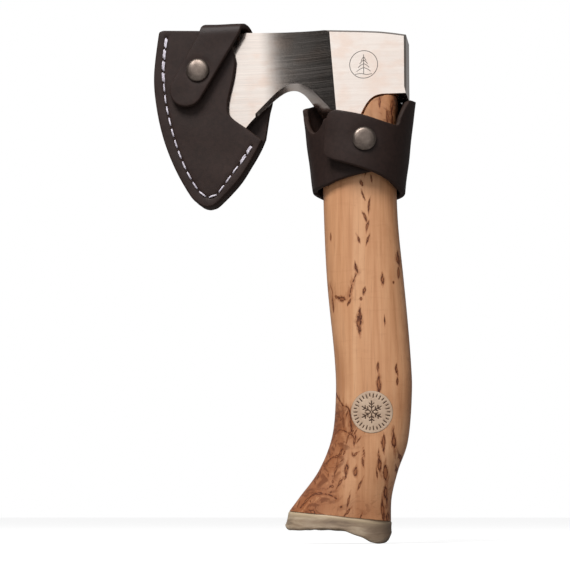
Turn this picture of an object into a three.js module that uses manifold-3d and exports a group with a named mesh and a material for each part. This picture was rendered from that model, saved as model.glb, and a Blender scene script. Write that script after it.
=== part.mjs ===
// A small bearded hatchet with a birch handle, its leather blade sheath and its leather belt holder.
// Millimetres. +Z runs up along the handle to the head, the bit faces -X and the poll +X.
// The sides of the head lie in the XZ plane. The origin is under the middle of the whole set.
import * as THREE from "three";
import { mergeVertices } from "three/addons/utils/BufferGeometryUtils.js";
import Module from "manifold-3d";

const wasm = await Module();
wasm.setup();

// ---------------------------------------------------------------- driving dimensions
const HEAD_HALF = 12; // half of the head's thickness over the eye
const CREASE_X = 27; // where the flat eye side meets the hollow-ground cheek
const CHEEK_X = -4; // where the hollow grind runs out into the flat blade
const CHEEK_HALF = 3.4; // half thickness of the blade at CHEEK_X
const CHEEK_TAPER = 0.038; // thinning of the blade towards the bit, per millimetre
const CREASE_TILT = 0.083; // lean of the crease from the vertical, radians
const POLL_X = 66;
const TOP_Z = 273.2; // top edge at the toe
const POLL_Z = 234.4; // underside of the poll
const BIT = { x: 67.5, z: 252, radius: 130 }; // the curved bit is an arc about this point
const BIT_SLOPE = 5; // length of the sharpening bevel per millimetre of half thickness
const EYE = { x: 43.2, length: 12.8, width: 8 }; // half sizes of the oval eye
const FIT = 0.3; // clearance between neighbouring pieces
const SHOULDER_Z = 233.9; // top of the grip, under the poll
const GRIP_EXPONENT = 2.35; // squareness of the handle's oval section
const MEDALLION = { x: 47.1, z: 67.3, radius: 10.9, depth: 11.2 };
const PIN = { radius: 2.5, length: 20 };
const LEATHER = 2.8; // thickness of the sheath's leather
const POCKET = 3.1; // from the middle plane to the front panel's inner face
const WELT_HALF = 2.8;
const BACK_INNER = 3.7; // from the middle plane to the back panel's inner face
const STRAP = { width: 18.2, thickness: 2.6, inner: 8.2, fold: 277.8 };
const STRAP_LEAN = new THREE.Vector2(0.51, 0.86).normalize(); // direction up the front strap
const STRAP_END = new THREE.Vector2(-51.9, 240.5); // centre of the strap's round end
const STRAP_SNAP = new THREE.Vector2(-45.7, 251);
const STRAP_SPLIT_Z = 271; // the front strap ends here and the bend over the top begins
const ROOT_END = new THREE.Vector2(-17.5, 251); // centre of the strap root's round end
const RIVETS = [new THREE.Vector2(-23.6, 261.3), new THREE.Vector2(-18.2, 252.2)];
const HOLDER = {
  x: 39.6, bottom: 181.8, top: 238, halfBottom: 24.3, halfTop: 31.2, leather: 2.8,
};
const BACK_DEPTH = 19.6; // outer face of the holder's back
const UNDER_DEPTH = { bottom: 17.4, top: 19.2 }; // outer face of the under flap, front
const OVER_DEPTH = { bottom: 23.1, top: 24.9 }; // outer face of the over flap, front
const OVER_SHIFT = 2.6; // the over flap's oval is this much wider, on the left only
const HINGE_X = 58.6; // the over flap bends here
const HOLDER_SNAP = new THREE.Vector2(44.8, 208.7);
const LOOP = { x: HOLDER.x, half: 15, bottom: 190, top: 258, inner: 20, thickness: 2.6, gap: 6 };
const LOOP_RIVETS = [-6, 6].map((side) => new THREE.Vector2(LOOP.x + side, 197.5));
const MIDDLE_Y = -2.8; // brings the middle of the set's depth to Y = 0
const FAR = 60; // longer than any piece is deep, for cutters

// ---------------------------------------------------------------- materials
function finish(color, roughness, metalness = 0) {
  return { color, roughness, metalness };
}
const STEEL = finish(0xd9d6d2, 0.3, 1);
const BIRCH = finish(0xd3a273, 0.5);
const DARK_BIRCH = finish(0x9a6a40, 0.6);
const ANTLER = finish(0xcbbfa6, 0.55);
const HIDE = finish(0x2b2423, 0.6);
const THREAD = finish(0xd8d2dc, 0.7);
const NICKEL = finish(0x7a716c, 0.35, 1);

// ---------------------------------------------------------------- solids
function solidOf(geometry) {
  const bare = geometry.clone();
  bare.deleteAttribute("normal");
  bare.deleteAttribute("uv");
  const merged = mergeVertices(bare, 1e-3);
  return new wasm.Manifold(new wasm.Mesh({
    numProp: 3,
    vertProperties: new Float32Array(merged.attributes.position.array),
    triVerts: new Uint32Array(merged.index.array),
  }));
}

function geometryOf(solid) {
  const mesh = solid.getMesh();
  const geometry = new THREE.BufferGeometry();
  geometry.setAttribute("position", new THREE.BufferAttribute(mesh.vertProperties, 3));
  geometry.setIndex(new THREE.BufferAttribute(mesh.triVerts, 1));
  geometry.computeVertexNormals();
  return geometry;
}

const set = new THREE.Group();
set.position.y = MIDDLE_Y;

function piece(name, solid, look) {
  const mesh = new THREE.Mesh(geometryOf(solid), new THREE.MeshStandardMaterial(look));
  mesh.name = name;
  set.add(mesh);
  return mesh;
}

// A shape drawn in the XZ plane, as a plate from y0 to y1. A bevel cuts its edges on both faces.
function plate(shape, y0, y1, { bevel = 0, steps = 5 } = {}) {
  const geometry = new THREE.ExtrudeGeometry(shape, {
    depth: y1 - y0 - 2 * bevel,
    bevelEnabled: bevel > 0,
    bevelThickness: bevel,
    bevelSize: bevel,
    bevelOffset: -bevel,
    bevelSegments: 1,
    curveSegments: steps,
  });
  geometry.rotateX(Math.PI / 2);
  geometry.translate(0, y1 - bevel, 0);
  return solidOf(geometry);
}

// A straight cylinder along Y through a point of the XZ plane.
function rod(centre, radius, y0, y1, sides = 20) {
  const geometry = new THREE.CylinderGeometry(radius, radius, y1 - y0, sides);
  geometry.translate(centre.x, (y0 + y1) / 2, centre.y);
  return solidOf(geometry);
}

// A cylinder whose rings are moved to the section that sectionAt gives:
// sectionAt(t, angle) is the ring's point, and sectionAt(t) its middle, for t from 0 to 1.
function shaped(sectionAt, sides, rings) {
  const geometry = new THREE.CylinderGeometry(1, 1, 1, sides, rings);
  geometry.rotateX(Math.PI / 2);
  const place = geometry.attributes.position;
  for (let i = 0; i < place.count; i += 1) {
    const t = place.getZ(i) + 0.5;
    const x = place.getX(i);
    const y = place.getY(i);
    const point = Math.hypot(x, y) < 1e-6 ? sectionAt(t) : sectionAt(t, Math.atan2(y, x));
    place.setXYZ(i, point.x, point.y, point.z);
  }
  return solidOf(geometry);
}

function oval(angle, halfX, halfY, exponent) {
  const power = 2 / exponent;
  const c = Math.cos(angle);
  const s = Math.sin(angle);
  return new THREE.Vector2(
    halfX * Math.sign(c) * Math.abs(c) ** power,
    halfY * Math.sign(s) * Math.abs(s) ** power,
  );
}

// An upright oval column that may taper.
function column(x, bottom, top, halfBottom, halfTop, sides = 32) {
  return shaped((t, angle) => {
    const z = THREE.MathUtils.lerp(bottom, top, t);
    if (angle === undefined) return new THREE.Vector3(x, 0, z);
    const halfX = THREE.MathUtils.lerp(halfBottom.x, halfTop.x, t);
    const halfY = THREE.MathUtils.lerp(halfBottom.y, halfTop.y, t);
    return new THREE.Vector3(x + halfX * Math.cos(angle), halfY * Math.sin(angle), z);
  }, sides, 1);
}

function block(x0, x1, y0, y1, z0, z1) {
  const geometry = new THREE.BoxGeometry(x1 - x0, y1 - y0, z1 - z0);
  geometry.translate((x0 + x1) / 2, (y0 + y1) / 2, (z0 + z1) / 2);
  return solidOf(geometry);
}

function points(list) {
  return list.map(([x, z]) => new THREE.Vector2(x, z));
}

function polygon(list) {
  return new THREE.Shape(points(list));
}

// ---------------------------------------------------------------- axe head
function halfThickness(x) {
  if (x >= CREASE_X) return HEAD_HALF;
  const flat = CHEEK_HALF + CHEEK_TAPER * (x - CHEEK_X);
  if (x <= CHEEK_X) return flat;
  const full = CHEEK_HALF + CHEEK_TAPER * (CREASE_X - CHEEK_X);
  const share = (x - CHEEK_X) / (CREASE_X - CHEEK_X);
  return flat + (HEAD_HALF - full) * share * share;
}

const CROWN = [[57, 267.9], [48, 268.9], [26, 270.2]]; // the head's top edge over the eye
const LUG = [[25, 218], [31, 214.2], [37, 214.5], [41, 219], [42.3, 224.2]];

function headOutline() {
  const toeAngle = Math.PI - Math.asin((TOP_Z - BIT.z) / BIT.radius);
  const heelAngle = Math.PI + 0.52;
  const shape = new THREE.Shape();
  shape.absarc(BIT.x, BIT.z, BIT.radius, toeAngle, heelAngle, false);
  shape.lineTo(-43.2, 188.4);
  shape.splineThru(points([[-32.2, 203.8], [-20.8, 220.4], [-12.5, 229], [-2.7, 237.6],
    [4.5, 240.4], [10.3, 238.1], [15.4, 231.9], [20.5, 224.5], ...LUG]));
  shape.splineThru(points([[44.2, 227.9], [46.6, 231.3], [49.6, 233.5], [53.2, POLL_Z]]));
  shape.lineTo(POLL_X, POLL_Z);
  shape.lineTo(POLL_X, 266.4);
  shape.splineThru(points([...CROWN, [-20, 272.4]]));
  return shape;
}

function wedgeSolid() {
  const upper = [];
  for (const x of [-75, -40, CHEEK_X, 2, 8, 14, 19, 23, CREASE_X, 90]) {
    upper.push(new THREE.Vector2(x, halfThickness(x)));
  }
  const lower = upper.map((p) => new THREE.Vector2(p.x, -p.y)).reverse();
  const geometry = new THREE.ExtrudeGeometry(new THREE.Shape([...upper, ...lower]), {
    depth: 140, bevelEnabled: false,
  });
  const level = 250; // the crease is at CREASE_X on this height
  geometry.translate(-CREASE_X, 0, -70);
  geometry.rotateY(-CREASE_TILT);
  geometry.translate(CREASE_X, 0, level);
  return solidOf(geometry);
}

// The sharpening bevel: a double cone about the centre of the bit's arc.
function bitSolid() {
  const edge = 0.1;
  const reach = BIT.radius / BIT_SLOPE;
  return turned(placeAt(BIT.x, 0, BIT.z), [
    [0, -reach], [BIT.radius, -edge], [BIT.radius, edge], [0, reach],
  ], 80);
}

// The ground edge of the arch under the beard widens from the middle plane to both faces.
function archCutter() {
  const shape = new THREE.Shape();
  shape.moveTo(-14, 205);
  shape.lineTo(22, 205);
  shape.lineTo(21, 223.8);
  shape.splineThru(points([[15.4, 231.9], [10.3, 238.1], [4.5, 240.4], [-2.7, 237.6],
    [-14, 227.5]]));
  const growth = 7.5;
  const geometry = new THREE.ExtrudeGeometry(shape, {
    depth: 0.4, bevelEnabled: true, bevelSegments: 1, bevelThickness: HEAD_HALF + 1,
    bevelSize: -growth, bevelOffset: growth, curveSegments: 4,
  });
  geometry.rotateX(Math.PI / 2);
  geometry.translate(0, 0.2, 0);
  return solidOf(geometry);
}

function eyeColumn(clearance, bottom, top) {
  const narrow = { x: EYE.length - clearance, y: EYE.width - clearance };
  const wide = { x: narrow.x + 0.5, y: narrow.y + 0.4 };
  return column(EYE.x, bottom, top, narrow, wide, 36);
}

const EYE_BOTTOM = 205;
const EYE_TOP = 276;
piece("axe_head", plate(headOutline(), -HEAD_HALF, HEAD_HALF, { bevel: 1.1, steps: 3 })
  .intersect(wedgeSolid())
  .intersect(bitSolid())
  .subtract(archCutter())
  .subtract(eyeColumn(0, EYE_BOTTOM, EYE_TOP)), STEEL);

// ---------------------------------------------------------------- handle
// The grip's front and back edges in the side view, from the butt up, ring by ring.
const FRONT_EDGE = [[2.6, 16.8], [8, 24], [18.2, 38], [25, 55], [27, 75], [26.5, 95],
  [22.7, 138], [20.7, 181], [20.5, SHOULDER_Z]];
const BACK_EDGE = [[55.4, 11.6], [55.8, 24], [59.3, 38], [64.6, 53], [66.9, 76], [66.5, 95],
  [62.9, 138], [59.7, 181], [60.3, SHOULDER_Z]];
const GRIP_HALF = [16, 15.4, 14.6, 14.4, 15, 15, 14.2, 13.6, 13.2]; // half thickness at each ring

function gripSolid() {
  const front = new THREE.SplineCurve(points(FRONT_EDGE));
  const back = new THREE.SplineCurve(points(BACK_EDGE));
  const depth = new THREE.SplineCurve(GRIP_HALF.map((half, i) => new THREE.Vector2(i, half)));
  return shaped((t, angle) => {
    const a = front.getPoint(t);
    const b = back.getPoint(t);
    const middle = a.clone().lerp(b, 0.5);
    if (angle === undefined) return new THREE.Vector3(middle.x, 0, middle.y);
    const p = oval(angle, 0.5, depth.getPoint(t).y, GRIP_EXPONENT);
    const across = b.clone().sub(a).multiplyScalar(p.x);
    return new THREE.Vector3(middle.x + across.x, p.y, middle.y + across.y);
  }, 28, 24);
}

function lugPocket() {
  const shape = new THREE.Shape(points([[0, 280], [0, 226], [19.6, 222.6]]));
  shape.splineThru(points([[24, 216.2], [31, 213], [37.4, 213.4], [42, 218.5],
    [43.3, 224], [45.2, 227.4], [47.3, 230.4], [49.8, 232.3], [53.5, 233.4]]));
  shape.lineTo(53.5, 280);
  return plate(shape, -FAR, FAR, { steps: 4 });
}

const TENON_TOP = 271.5; // before its top is cut level with the head
const PROUD = { tenon: 0.2, longWedge: 0.4, crossWedge: 0.6 }; // how far each stands over the head
const LONG_WEDGE = { length: 22, depth: 39, half: 1.9, tip: 0.35 };
const CROSS_WEDGE = { length: 11, depth: 21, half: 1, tip: 0.3, shift: 1.5 };

// A piece in the eye, cut off along the head's top edge and a little over it.
function cutOff(solid, proud) {
  const top = CROWN.map(([x, z]) => [x, z + proud]);
  return solid.intersect(plate(polygon([[26, 0], [57, 0], ...top]), -FAR, FAR));
}

// A tapered wedge seen along its length: its section lies in the plane across the length.
function wedgePrism(size, grow) {
  const half = size.half + grow;
  const tip = size.tip + grow;
  const top = TENON_TOP + 1 + grow;
  const foot = top - size.depth - 2 * grow;
  const shape = polygon([[-half, top], [-tip, foot], [tip, foot], [half, top]]);
  const length = size.length + 2 * grow;
  const geometry = new THREE.ExtrudeGeometry(shape, { depth: length, bevelEnabled: false });
  geometry.translate(0, 0, -length / 2);
  geometry.rotateX(Math.PI / 2);
  return geometry;
}

function longWedge(grow) {
  const geometry = wedgePrism(LONG_WEDGE, grow);
  geometry.rotateZ(Math.PI / 2);
  geometry.translate(EYE.x, 0, 0);
  return solidOf(geometry);
}

function crossWedge(grow) {
  const geometry = wedgePrism(CROSS_WEDGE, grow);
  geometry.translate(EYE.x + CROSS_WEDGE.shift, 0, 0);
  return solidOf(geometry);
}

function pinAt(x, z, grow) {
  const radius = PIN.radius + grow;
  const geometry = new THREE.CylinderGeometry(radius, radius, PIN.length + 2 * grow, 16);
  geometry.rotateX(Math.PI / 2);
  geometry.translate(x, 0, z);
  return solidOf(geometry);
}

const PINS = [["butt_pin_front", 19, 18.5], ["butt_pin_back", 41, 16.5]];
const medallionCentre = new THREE.Vector2(MEDALLION.x, MEDALLION.z);
const grip = gripSolid();

const tenon = cutOff(eyeColumn(FIT, EYE_BOTTOM - 5, TENON_TOP), PROUD.tenon);
let handle = grip.subtract(lugPocket()).add(tenon);
handle = handle.subtract(longWedge(FIT)).subtract(crossWedge(FIT));
handle = handle.subtract(rod(medallionCentre, MEDALLION.radius + FIT, -FAR, -MEDALLION.depth, 32));
for (const [, x, z] of PINS) handle = handle.subtract(pinAt(x, z, FIT));
piece("handle", handle, BIRCH);

const medallion = grip.intersect(
  rod(medallionCentre, MEDALLION.radius, -FAR, -MEDALLION.depth - FIT, 32));
piece("medallion", medallion, ANTLER);
const eyeWedge = longWedge(0).subtract(crossWedge(FIT));
piece("eye_wedge", cutOff(eyeWedge, PROUD.longWedge), DARK_BIRCH);
piece("cross_wedge", cutOff(crossWedge(0), PROUD.crossWedge), NICKEL);

// ---------------------------------------------------------------- butt cap
// A slice of antler: flat on top, hollowed and uneven below, standing on its back heel.
function capSolid() {
  const slope = (BACK_EDGE[0][1] - FRONT_EDGE[0][1]) / (BACK_EDGE[0][0] - FRONT_EDGE[0][0]);
  const seam = (x) => FRONT_EDGE[0][1] - FIT + slope * (x - FRONT_EDGE[0][0]);
  const shape = new THREE.Shape();
  shape.moveTo(-3, 9.5);
  shape.splineThru(points([[3.2, 6.9], [18, 7.2], [31, 6.7], [39.3, 4.1], [46, 0.7], [50.4, 0],
    [53.4, 1.7], [55.6, 5.5], [58, 8.5]]));
  shape.lineTo(58, seam(58));
  shape.lineTo(-3, seam(-3));
  const side = plate(shape, -FAR, FAR, { steps: 3 });
  const plan = column(28.4, -2, 20, { x: 27.8, y: 15.8 }, { x: 27.2, y: 16.4 }, 36);
  return side.intersect(plan);
}
let cap = capSolid();
for (const [name, x, z] of PINS) {
  cap = cap.subtract(pinAt(x, z, FIT));
  piece(name, pinAt(x, z, 0), DARK_BIRCH);
}
piece("butt_cap", cap, ANTLER);

// ---------------------------------------------------------------- snaps and rivets
// A snap is drawn about its own axis, y = 0 on the outer leather's outer face and +y going in.
// reach holds where its faces lie: the outer leather's inner face, then the lower leather's two.
const SHANK = 1.6;
const HOLE = SHANK + FIT;

function turned(place, profile, sides = 20) {
  const outline = profile.map(([radius, y]) => new THREE.Vector2(radius, y));
  const geometry = new THREE.LatheGeometry(outline, sides);
  geometry.applyMatrix4(place);
  return solidOf(geometry);
}

function snapCap(place, reach) {
  return turned(place, [
    [0, -2], [3, -1.9], [5.2, -1.5], [6.2, -0.7], [6.2, -0.15],
    [SHANK, -0.15], [SHANK, reach.inner - 0.4], [0, reach.inner - 0.4],
  ], 24);
}

function snapSocket(place, reach) {
  const near = reach.inner + reach.sit;
  return turned(place, [
    [2.9, near], [5.2, near], [5.2, near + 0.4], [4.6, near + 0.7], [2.9, near + 0.7], [2.9, near],
  ]);
}

function snapStud(place, reach) {
  return turned(place, [
    [0, reach.face - 1.9], [1.8, reach.face - 1.9], [2.3, reach.face - 0.8],
    [5, reach.face - 0.6], [5, reach.face - 0.15], [0, reach.face - 0.15],
  ]);
}

function snapPost(place, reach) {
  return turned(place, [
    [0, reach.face + 0.1], [SHANK, reach.face + 0.1], [SHANK, reach.behind + reach.sit],
    [3.9, reach.behind + reach.sit], [3.9, reach.behind + reach.sit + 0.45],
    [0, reach.behind + reach.sit + 0.45],
  ]);
}

// A hole for a shank, right through the leather along the snap's own axis.
function snapHole(place, from, to) {
  return turned(place, [[0, from], [HOLE, from], [HOLE, to], [0, to]], 12);
}

function placeAt(x, y, z, outward = new THREE.Vector3(0, -1, 0)) {
  const turn = new THREE.Quaternion().setFromUnitVectors(new THREE.Vector3(0, -1, 0), outward);
  return new THREE.Matrix4().compose(
    new THREE.Vector3(x, y, z), turn, new THREE.Vector3(1, 1, 1));
}

// A rivet along Y: the post's flat head is in front of y0 and the domed cap behind y1.
function rivetPair(name, centre, y0, y1) {
  const place = placeAt(centre.x, 0, centre.y);
  piece(`${name}_post`, turned(place, [
    [0, y0 - 0.6], [4, y0 - 0.6], [4, y0 - 0.15],
    [SHANK, y0 - 0.15], [SHANK, y1 - 0.2], [0, y1 - 0.2],
  ]), NICKEL);
  piece(`${name}_cap`, turned(place, [
    [0, y1 + 0.1], [4.2, y1 + 0.1], [4.2, y1 + 0.5], [2.6, y1 + 1.2], [0, y1 + 1.4],
  ]), NICKEL);
}

// ---------------------------------------------------------------- sheath
const CORNER = [[-65.6, 274.7], [-67.4, 274], [-68.4, 271.4]]; // the rounded upper corner
const OUTER_EDGE = [[-70.6, 250.4], [-69.3, 233.9], [-65.4, 216.2], [-58.8, 199.1],
  [-50.4, 184.2], [-44.8, 178.6], [-41.8, 177.8], [-35, 180.3], [-25, 190.8], [-18, 201.5],
  [-13.8, 208.8]];

// A shape that starts at the rounded corner and follows the stitched edge round to a last point.
function alongSeam(last) {
  const [start, ...corner] = CORNER;
  const shape = new THREE.Shape();
  shape.moveTo(...start);
  shape.splineThru(points(corner));
  shape.splineThru(points([...OUTER_EDGE, last]));
  return shape;
}

function frontPanelShape() {
  const shape = alongSeam([-11.7, 213.1]);
  shape.splineThru(points([[-20.2, 219.6], [-26.8, 224.4], [-29.9, 227.9], [-30.4, 231.5],
    [-30, 236], [-27.4, 247.3], [-26.2, 256]]));
  shape.lineTo(-29.5, 273.2);
  return shape;
}

function backPanelShape() {
  const shape = alongSeam([-11, 215.2]);
  shape.splineThru(points([[-8.9, 228.8], [-7.4, 236], [-7.6, 248], [-10.5, 260], [-16.5, 273.2]]));
  return shape;
}

// The welt follows the stitched edge between the panels and keeps the bit off the thread.
function weltShape() {
  const shape = alongSeam([-11.7, 213.1]);
  shape.lineTo(-17, 217.1);
  shape.splineThru(points([[-21, 208], [-28.4, 197.4], [-34.6, 188.9], [-39.5, 185.4],
    [-44.3, 185.6]]));
  shape.splineThru(points([[-47.7, 190], [-51.8, 198.3], [-57.9, 213.2], [-61.9, 228.6],
    [-63.6, 245], [-63.2, 260], [-60.6, 274.4]]));
  return shape;
}

const FRONT_FACE = POCKET + LEATHER; // distance of the front panel's outer face from the middle
const BACK_FACE = BACK_INNER + LEATHER;

piece("sheath_front", plate(frontPanelShape(), -FRONT_FACE, -POCKET, { steps: 3 })
  .subtract(rod(STRAP_SNAP, HOLE, -FAR, 0, 12)), HIDE);
piece("sheath_welt", plate(weltShape(), -WELT_HALF, BACK_INNER - FIT, { steps: 3 }), HIDE);

let backPanel = plate(backPanelShape(), BACK_INNER, BACK_FACE, { steps: 3 });
for (const centre of RIVETS) backPanel = backPanel.subtract(rod(centre, HOLE, 0, FAR, 12));
piece("sheath_back", backPanel, HIDE);

// Each row of stitches is one thread along the seam, pressed onto its panel.
const SEAM = [[-63.7, 270.8], [-65.5, 252.9], [-64.1, 236.3], [-60.1, 218.4], [-53.2, 199.2],
  [-48.4, 190.3], [-44.3, 184.8], [-40.2, 182.6], [-36.1, 183.9], [-31.4, 189.8],
  [-26.1, 197.1], [-17.3, 209.8]];

function threadSolid(y) {
  const path = new THREE.CatmullRomCurve3(SEAM.map(([x, z]) => new THREE.Vector3(x, y, z)));
  const section = new THREE.Shape();
  section.absarc(0, 0, 0.45, 0, Math.PI * 2, false);
  const geometry = new THREE.ExtrudeGeometry(section, {
    extrudePath: path, steps: 36, curveSegments: 3, bevelEnabled: false,
  });
  return solidOf(geometry);
}
piece("front_stitching", threadSolid(-FRONT_FACE - 0.6), THREAD);
piece("back_stitching", threadSolid(BACK_FACE + 0.6), THREAD);

// A band with one round end, from its round end's centre along a direction.
function tongue(end, along, length, width) {
  const side = new THREE.Vector2(along.y, -along.x).multiplyScalar(width / 2);
  const far = end.clone().addScaledVector(along, length);
  const angle = Math.atan2(side.y, side.x);
  const shape = new THREE.Shape();
  shape.moveTo(far.x + side.x, far.y + side.y);
  shape.lineTo(end.x + side.x, end.y + side.y);
  shape.absarc(end.x, end.y, width / 2, angle, angle - Math.PI, true);
  shape.lineTo(far.x - side.x, far.y - side.y);
  return shape;
}

const STRAP_OUTER = STRAP.inner + STRAP.thickness;
const ROOT_INNER = BACK_FACE + FIT;
const ROOT_OUTER = ROOT_INNER + STRAP.thickness;
const below = (z) => block(-90, 90, -FAR, FAR, 0, z);

let strapRoot = plate(tongue(ROOT_END, new THREE.Vector2(-STRAP_LEAN.x, STRAP_LEAN.y), 40,
  STRAP.width), ROOT_INNER, ROOT_OUTER).intersect(below(STRAP_SPLIT_Z));
for (const centre of RIVETS) strapRoot = strapRoot.subtract(rod(centre, HOLE, 0, FAR, 12));
piece("strap_root", strapRoot, HIDE);
RIVETS.forEach((centre, i) => {
  rivetPair(`strap_rivet_${i + 1}`, centre, BACK_INNER, ROOT_OUTER);
});

piece("strap_flap", plate(tongue(STRAP_END, STRAP_LEAN, 50, STRAP.width),
  -STRAP_OUTER, -STRAP.inner).intersect(below(STRAP_SPLIT_Z))
  .subtract(rod(STRAP_SNAP, HOLE, -FAR, 0, 12)), HIDE);

// The bend over the top edge, drawn in the YZ plane and run along the top of the sheath.
function bendSolid() {
  const start = STRAP_SPLIT_Z + FIT;
  const shape = new THREE.Shape();
  shape.moveTo(-STRAP_OUTER, start);
  shape.splineThru(points([[-STRAP_OUTER + 1.4, 275.4], [-4.5, 277.4], [0, STRAP.fold],
    [4.5, 277.4], [ROOT_OUTER - 1, 275.4], [ROOT_OUTER, start]]));
  shape.lineTo(ROOT_INNER, start);
  shape.splineThru(points([[ROOT_INNER - 0.6, 274.5], [0, 275.3], [-STRAP.inner + 0.8, 274.5],
    [-STRAP.inner, start]]));
  const width = STRAP.width / STRAP_LEAN.y;
  const geometry = new THREE.ExtrudeGeometry(shape, {
    depth: width, bevelEnabled: false, curveSegments: 2,
  });
  geometry.rotateX(Math.PI / 2);
  geometry.rotateZ(Math.PI / 2);
  const middle = STRAP_END.x + (start + 3 - STRAP_END.y) * STRAP_LEAN.x / STRAP_LEAN.y;
  geometry.translate(middle - width / 2, 0, 0);
  return solidOf(geometry);
}
piece("strap_bend", bendSolid(), HIDE);

const sheathSnap = placeAt(STRAP_SNAP.x, -STRAP_OUTER, STRAP_SNAP.y);
const sheathReach = {
  inner: STRAP.thickness, face: STRAP_OUTER - FRONT_FACE, behind: STRAP_OUTER - POCKET, sit: 0.15,
};
piece("strap_snap_cap", snapCap(sheathSnap, sheathReach), NICKEL);
piece("strap_snap_socket", snapSocket(sheathSnap, sheathReach), NICKEL);
piece("sheath_snap_stud", snapStud(sheathSnap, sheathReach), NICKEL);
piece("sheath_snap_post", snapPost(sheathSnap, sheathReach), NICKEL);

// ---------------------------------------------------------------- belt holder
// Every wall of the holder is a stretch of an upright oval cone's shell.
function halfWidth(z) {
  const t = (z - HOLDER.bottom) / (HOLDER.top - HOLDER.bottom);
  return THREE.MathUtils.lerp(HOLDER.halfBottom, HOLDER.halfTop, t);
}

function halfDepth(depth, z) {
  const t = (z - HOLDER.bottom) / (HOLDER.top - HOLDER.bottom);
  return THREE.MathUtils.lerp(depth.bottom, depth.top, t);
}

function coneSolid(depth, shift, inset, extend) {
  const bottom = HOLDER.bottom - extend;
  const top = HOLDER.top + extend;
  const half = (z) => ({
    x: halfWidth(z) + shift - inset, y: halfDepth(depth, z) - inset,
  });
  return column(HOLDER.x - shift, bottom, top, half(bottom), half(top), 44);
}

function shell(depth, shift = 0) {
  return coneSolid(depth, shift, 0, 3).subtract(coneSolid(depth, shift, HOLDER.leather, 6));
}

const SEAM_LAP = 0.2; // the stretches run this far into each other so that they join
const BACK_WALL = [[0, 184], [14, 183.6], [21, 181.8], [59, 181.8], [66, 183], [80, 183],
  [80, 232.3], [69.4, 233.4], [66, 233.9], [60.4, 234], [58.8, 235.2], [57.6, 236.9],
  [54, 237.4], [22, 236.6], [17.8, 235.6], [14.2, 234], [11.6, 232.4], [9.4, 230.2],
  [8.6, 228], [0, 228]];
const UNDER_WALL = [[0, 184], [14, 184.4], [22, 186.2], [28.8, 188.3], [39.3, 190.9],
  [52, 193.4], [52, 213.6], [28, 218.6], [24.4, 218], [21.6, 215.8], [18.1, 214.9],
  [14.8, 216], [12.4, 218.9], [10.9, 222.6], [9.9, 225.6], [8.6, 227.6], [0, 228]];
const HINGE_GAP = 0.15;
const RIGHT_WALL = [[HINGE_X + HINGE_GAP, 187.4], [61.5, 184.6], [66, 183], [80, 183],
  [80, 232.3], [68.8, 231.8], [67.4, 230.8], [66.2, 228.6], [64.8, 225.5], [63.2, 221.4],
  [62.5, 218.4], [61.5, 217.1], [HINGE_X + HINGE_GAP, 217.4]];

const frontHalf = block(-90, 90, -FAR, SEAM_LAP, 150, 260);
const backHalf = block(-90, 90, -SEAM_LAP, FAR, 150, 260);

function wall(shape, depth, shift, half) {
  return shell(depth, shift).intersect(plate(shape, -FAR, FAR)).intersect(half);
}

function flapShape() {
  const shape = new THREE.Shape();
  shape.moveTo(HINGE_X - HINGE_GAP, 187.5);
  shape.lineTo(HINGE_X - HINGE_GAP, 217.4);
  shape.splineThru(points([[52.9, 219], [42.5, 221.9], [28.8, 224.5]]));
  shape.splineThru(points([[26.4, 223.4], [24.8, 220.6]]));
  shape.splineThru(points([[23.7, 212.7], [22.9, 203.2]]));
  shape.splineThru(points([[24.1, 200.4], [26, 199]]));
  shape.splineThru(points([[31.9, 197.1], [42.3, 194], [52.7, 190.5],
    [HINGE_X - HINGE_GAP, 187.5]]));
  return shape;
}

// The point of a cone's outer face at a place of the front view, and the face's outward normal.
function frontOfCone(depth, shift, at) {
  const a = halfWidth(at.y) + shift;
  const b = halfDepth(depth, at.y);
  const dx = at.x - HOLDER.x + shift;
  const y = -b * Math.sqrt(1 - (dx / a) ** 2);
  const rise = HOLDER.top - HOLDER.bottom;
  const widening = (HOLDER.halfTop - HOLDER.halfBottom) / rise;
  const deepening = (depth.top - depth.bottom) / rise;
  const normal = new THREE.Vector3(
    dx / a ** 2,
    y / b ** 2,
    -(dx ** 2 * widening) / a ** 3 - (y ** 2 * deepening) / b ** 3,
  ).normalize();
  return { y, normal };
}

const seat = frontOfCone(OVER_DEPTH, OVER_SHIFT, HOLDER_SNAP);
const underSeat = frontOfCone(UNDER_DEPTH, 0, HOLDER_SNAP);
const snapAxis = seat.normal.clone().add(underSeat.normal).normalize();
const holderSnap = placeAt(HOLDER_SNAP.x, seat.y, HOLDER_SNAP.y, snapAxis);
const snapFace = (underSeat.y - seat.y) * Math.abs(snapAxis.y);
const holderReach = {
  inner: HOLDER.leather, face: snapFace, behind: snapFace + HOLDER.leather, sit: 0.64,
};

let holderWrap = wall(polygon(BACK_WALL), { bottom: BACK_DEPTH, top: BACK_DEPTH }, 0, backHalf)
  .add(wall(polygon(UNDER_WALL), UNDER_DEPTH, 0, frontHalf))
  .add(wall(polygon(RIGHT_WALL), OVER_DEPTH, OVER_SHIFT, frontHalf));
holderWrap = holderWrap.subtract(snapHole(holderSnap, -1, 12));
for (const centre of LOOP_RIVETS) {
  holderWrap = holderWrap.subtract(rod(centre, HOLE, 5, FAR, 12));
}
piece("holder_wrap", holderWrap, HIDE);

piece("holder_flap", wall(flapShape(), OVER_DEPTH, OVER_SHIFT, frontHalf)
  .subtract(snapHole(holderSnap, -1, 12)), HIDE);
piece("holder_snap_cap", snapCap(holderSnap, holderReach), NICKEL);
piece("holder_snap_socket", snapSocket(holderSnap, holderReach), NICKEL);
piece("holder_snap_stud", snapStud(holderSnap, holderReach), NICKEL);
piece("holder_snap_post", snapPost(holderSnap, holderReach), NICKEL);

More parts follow.
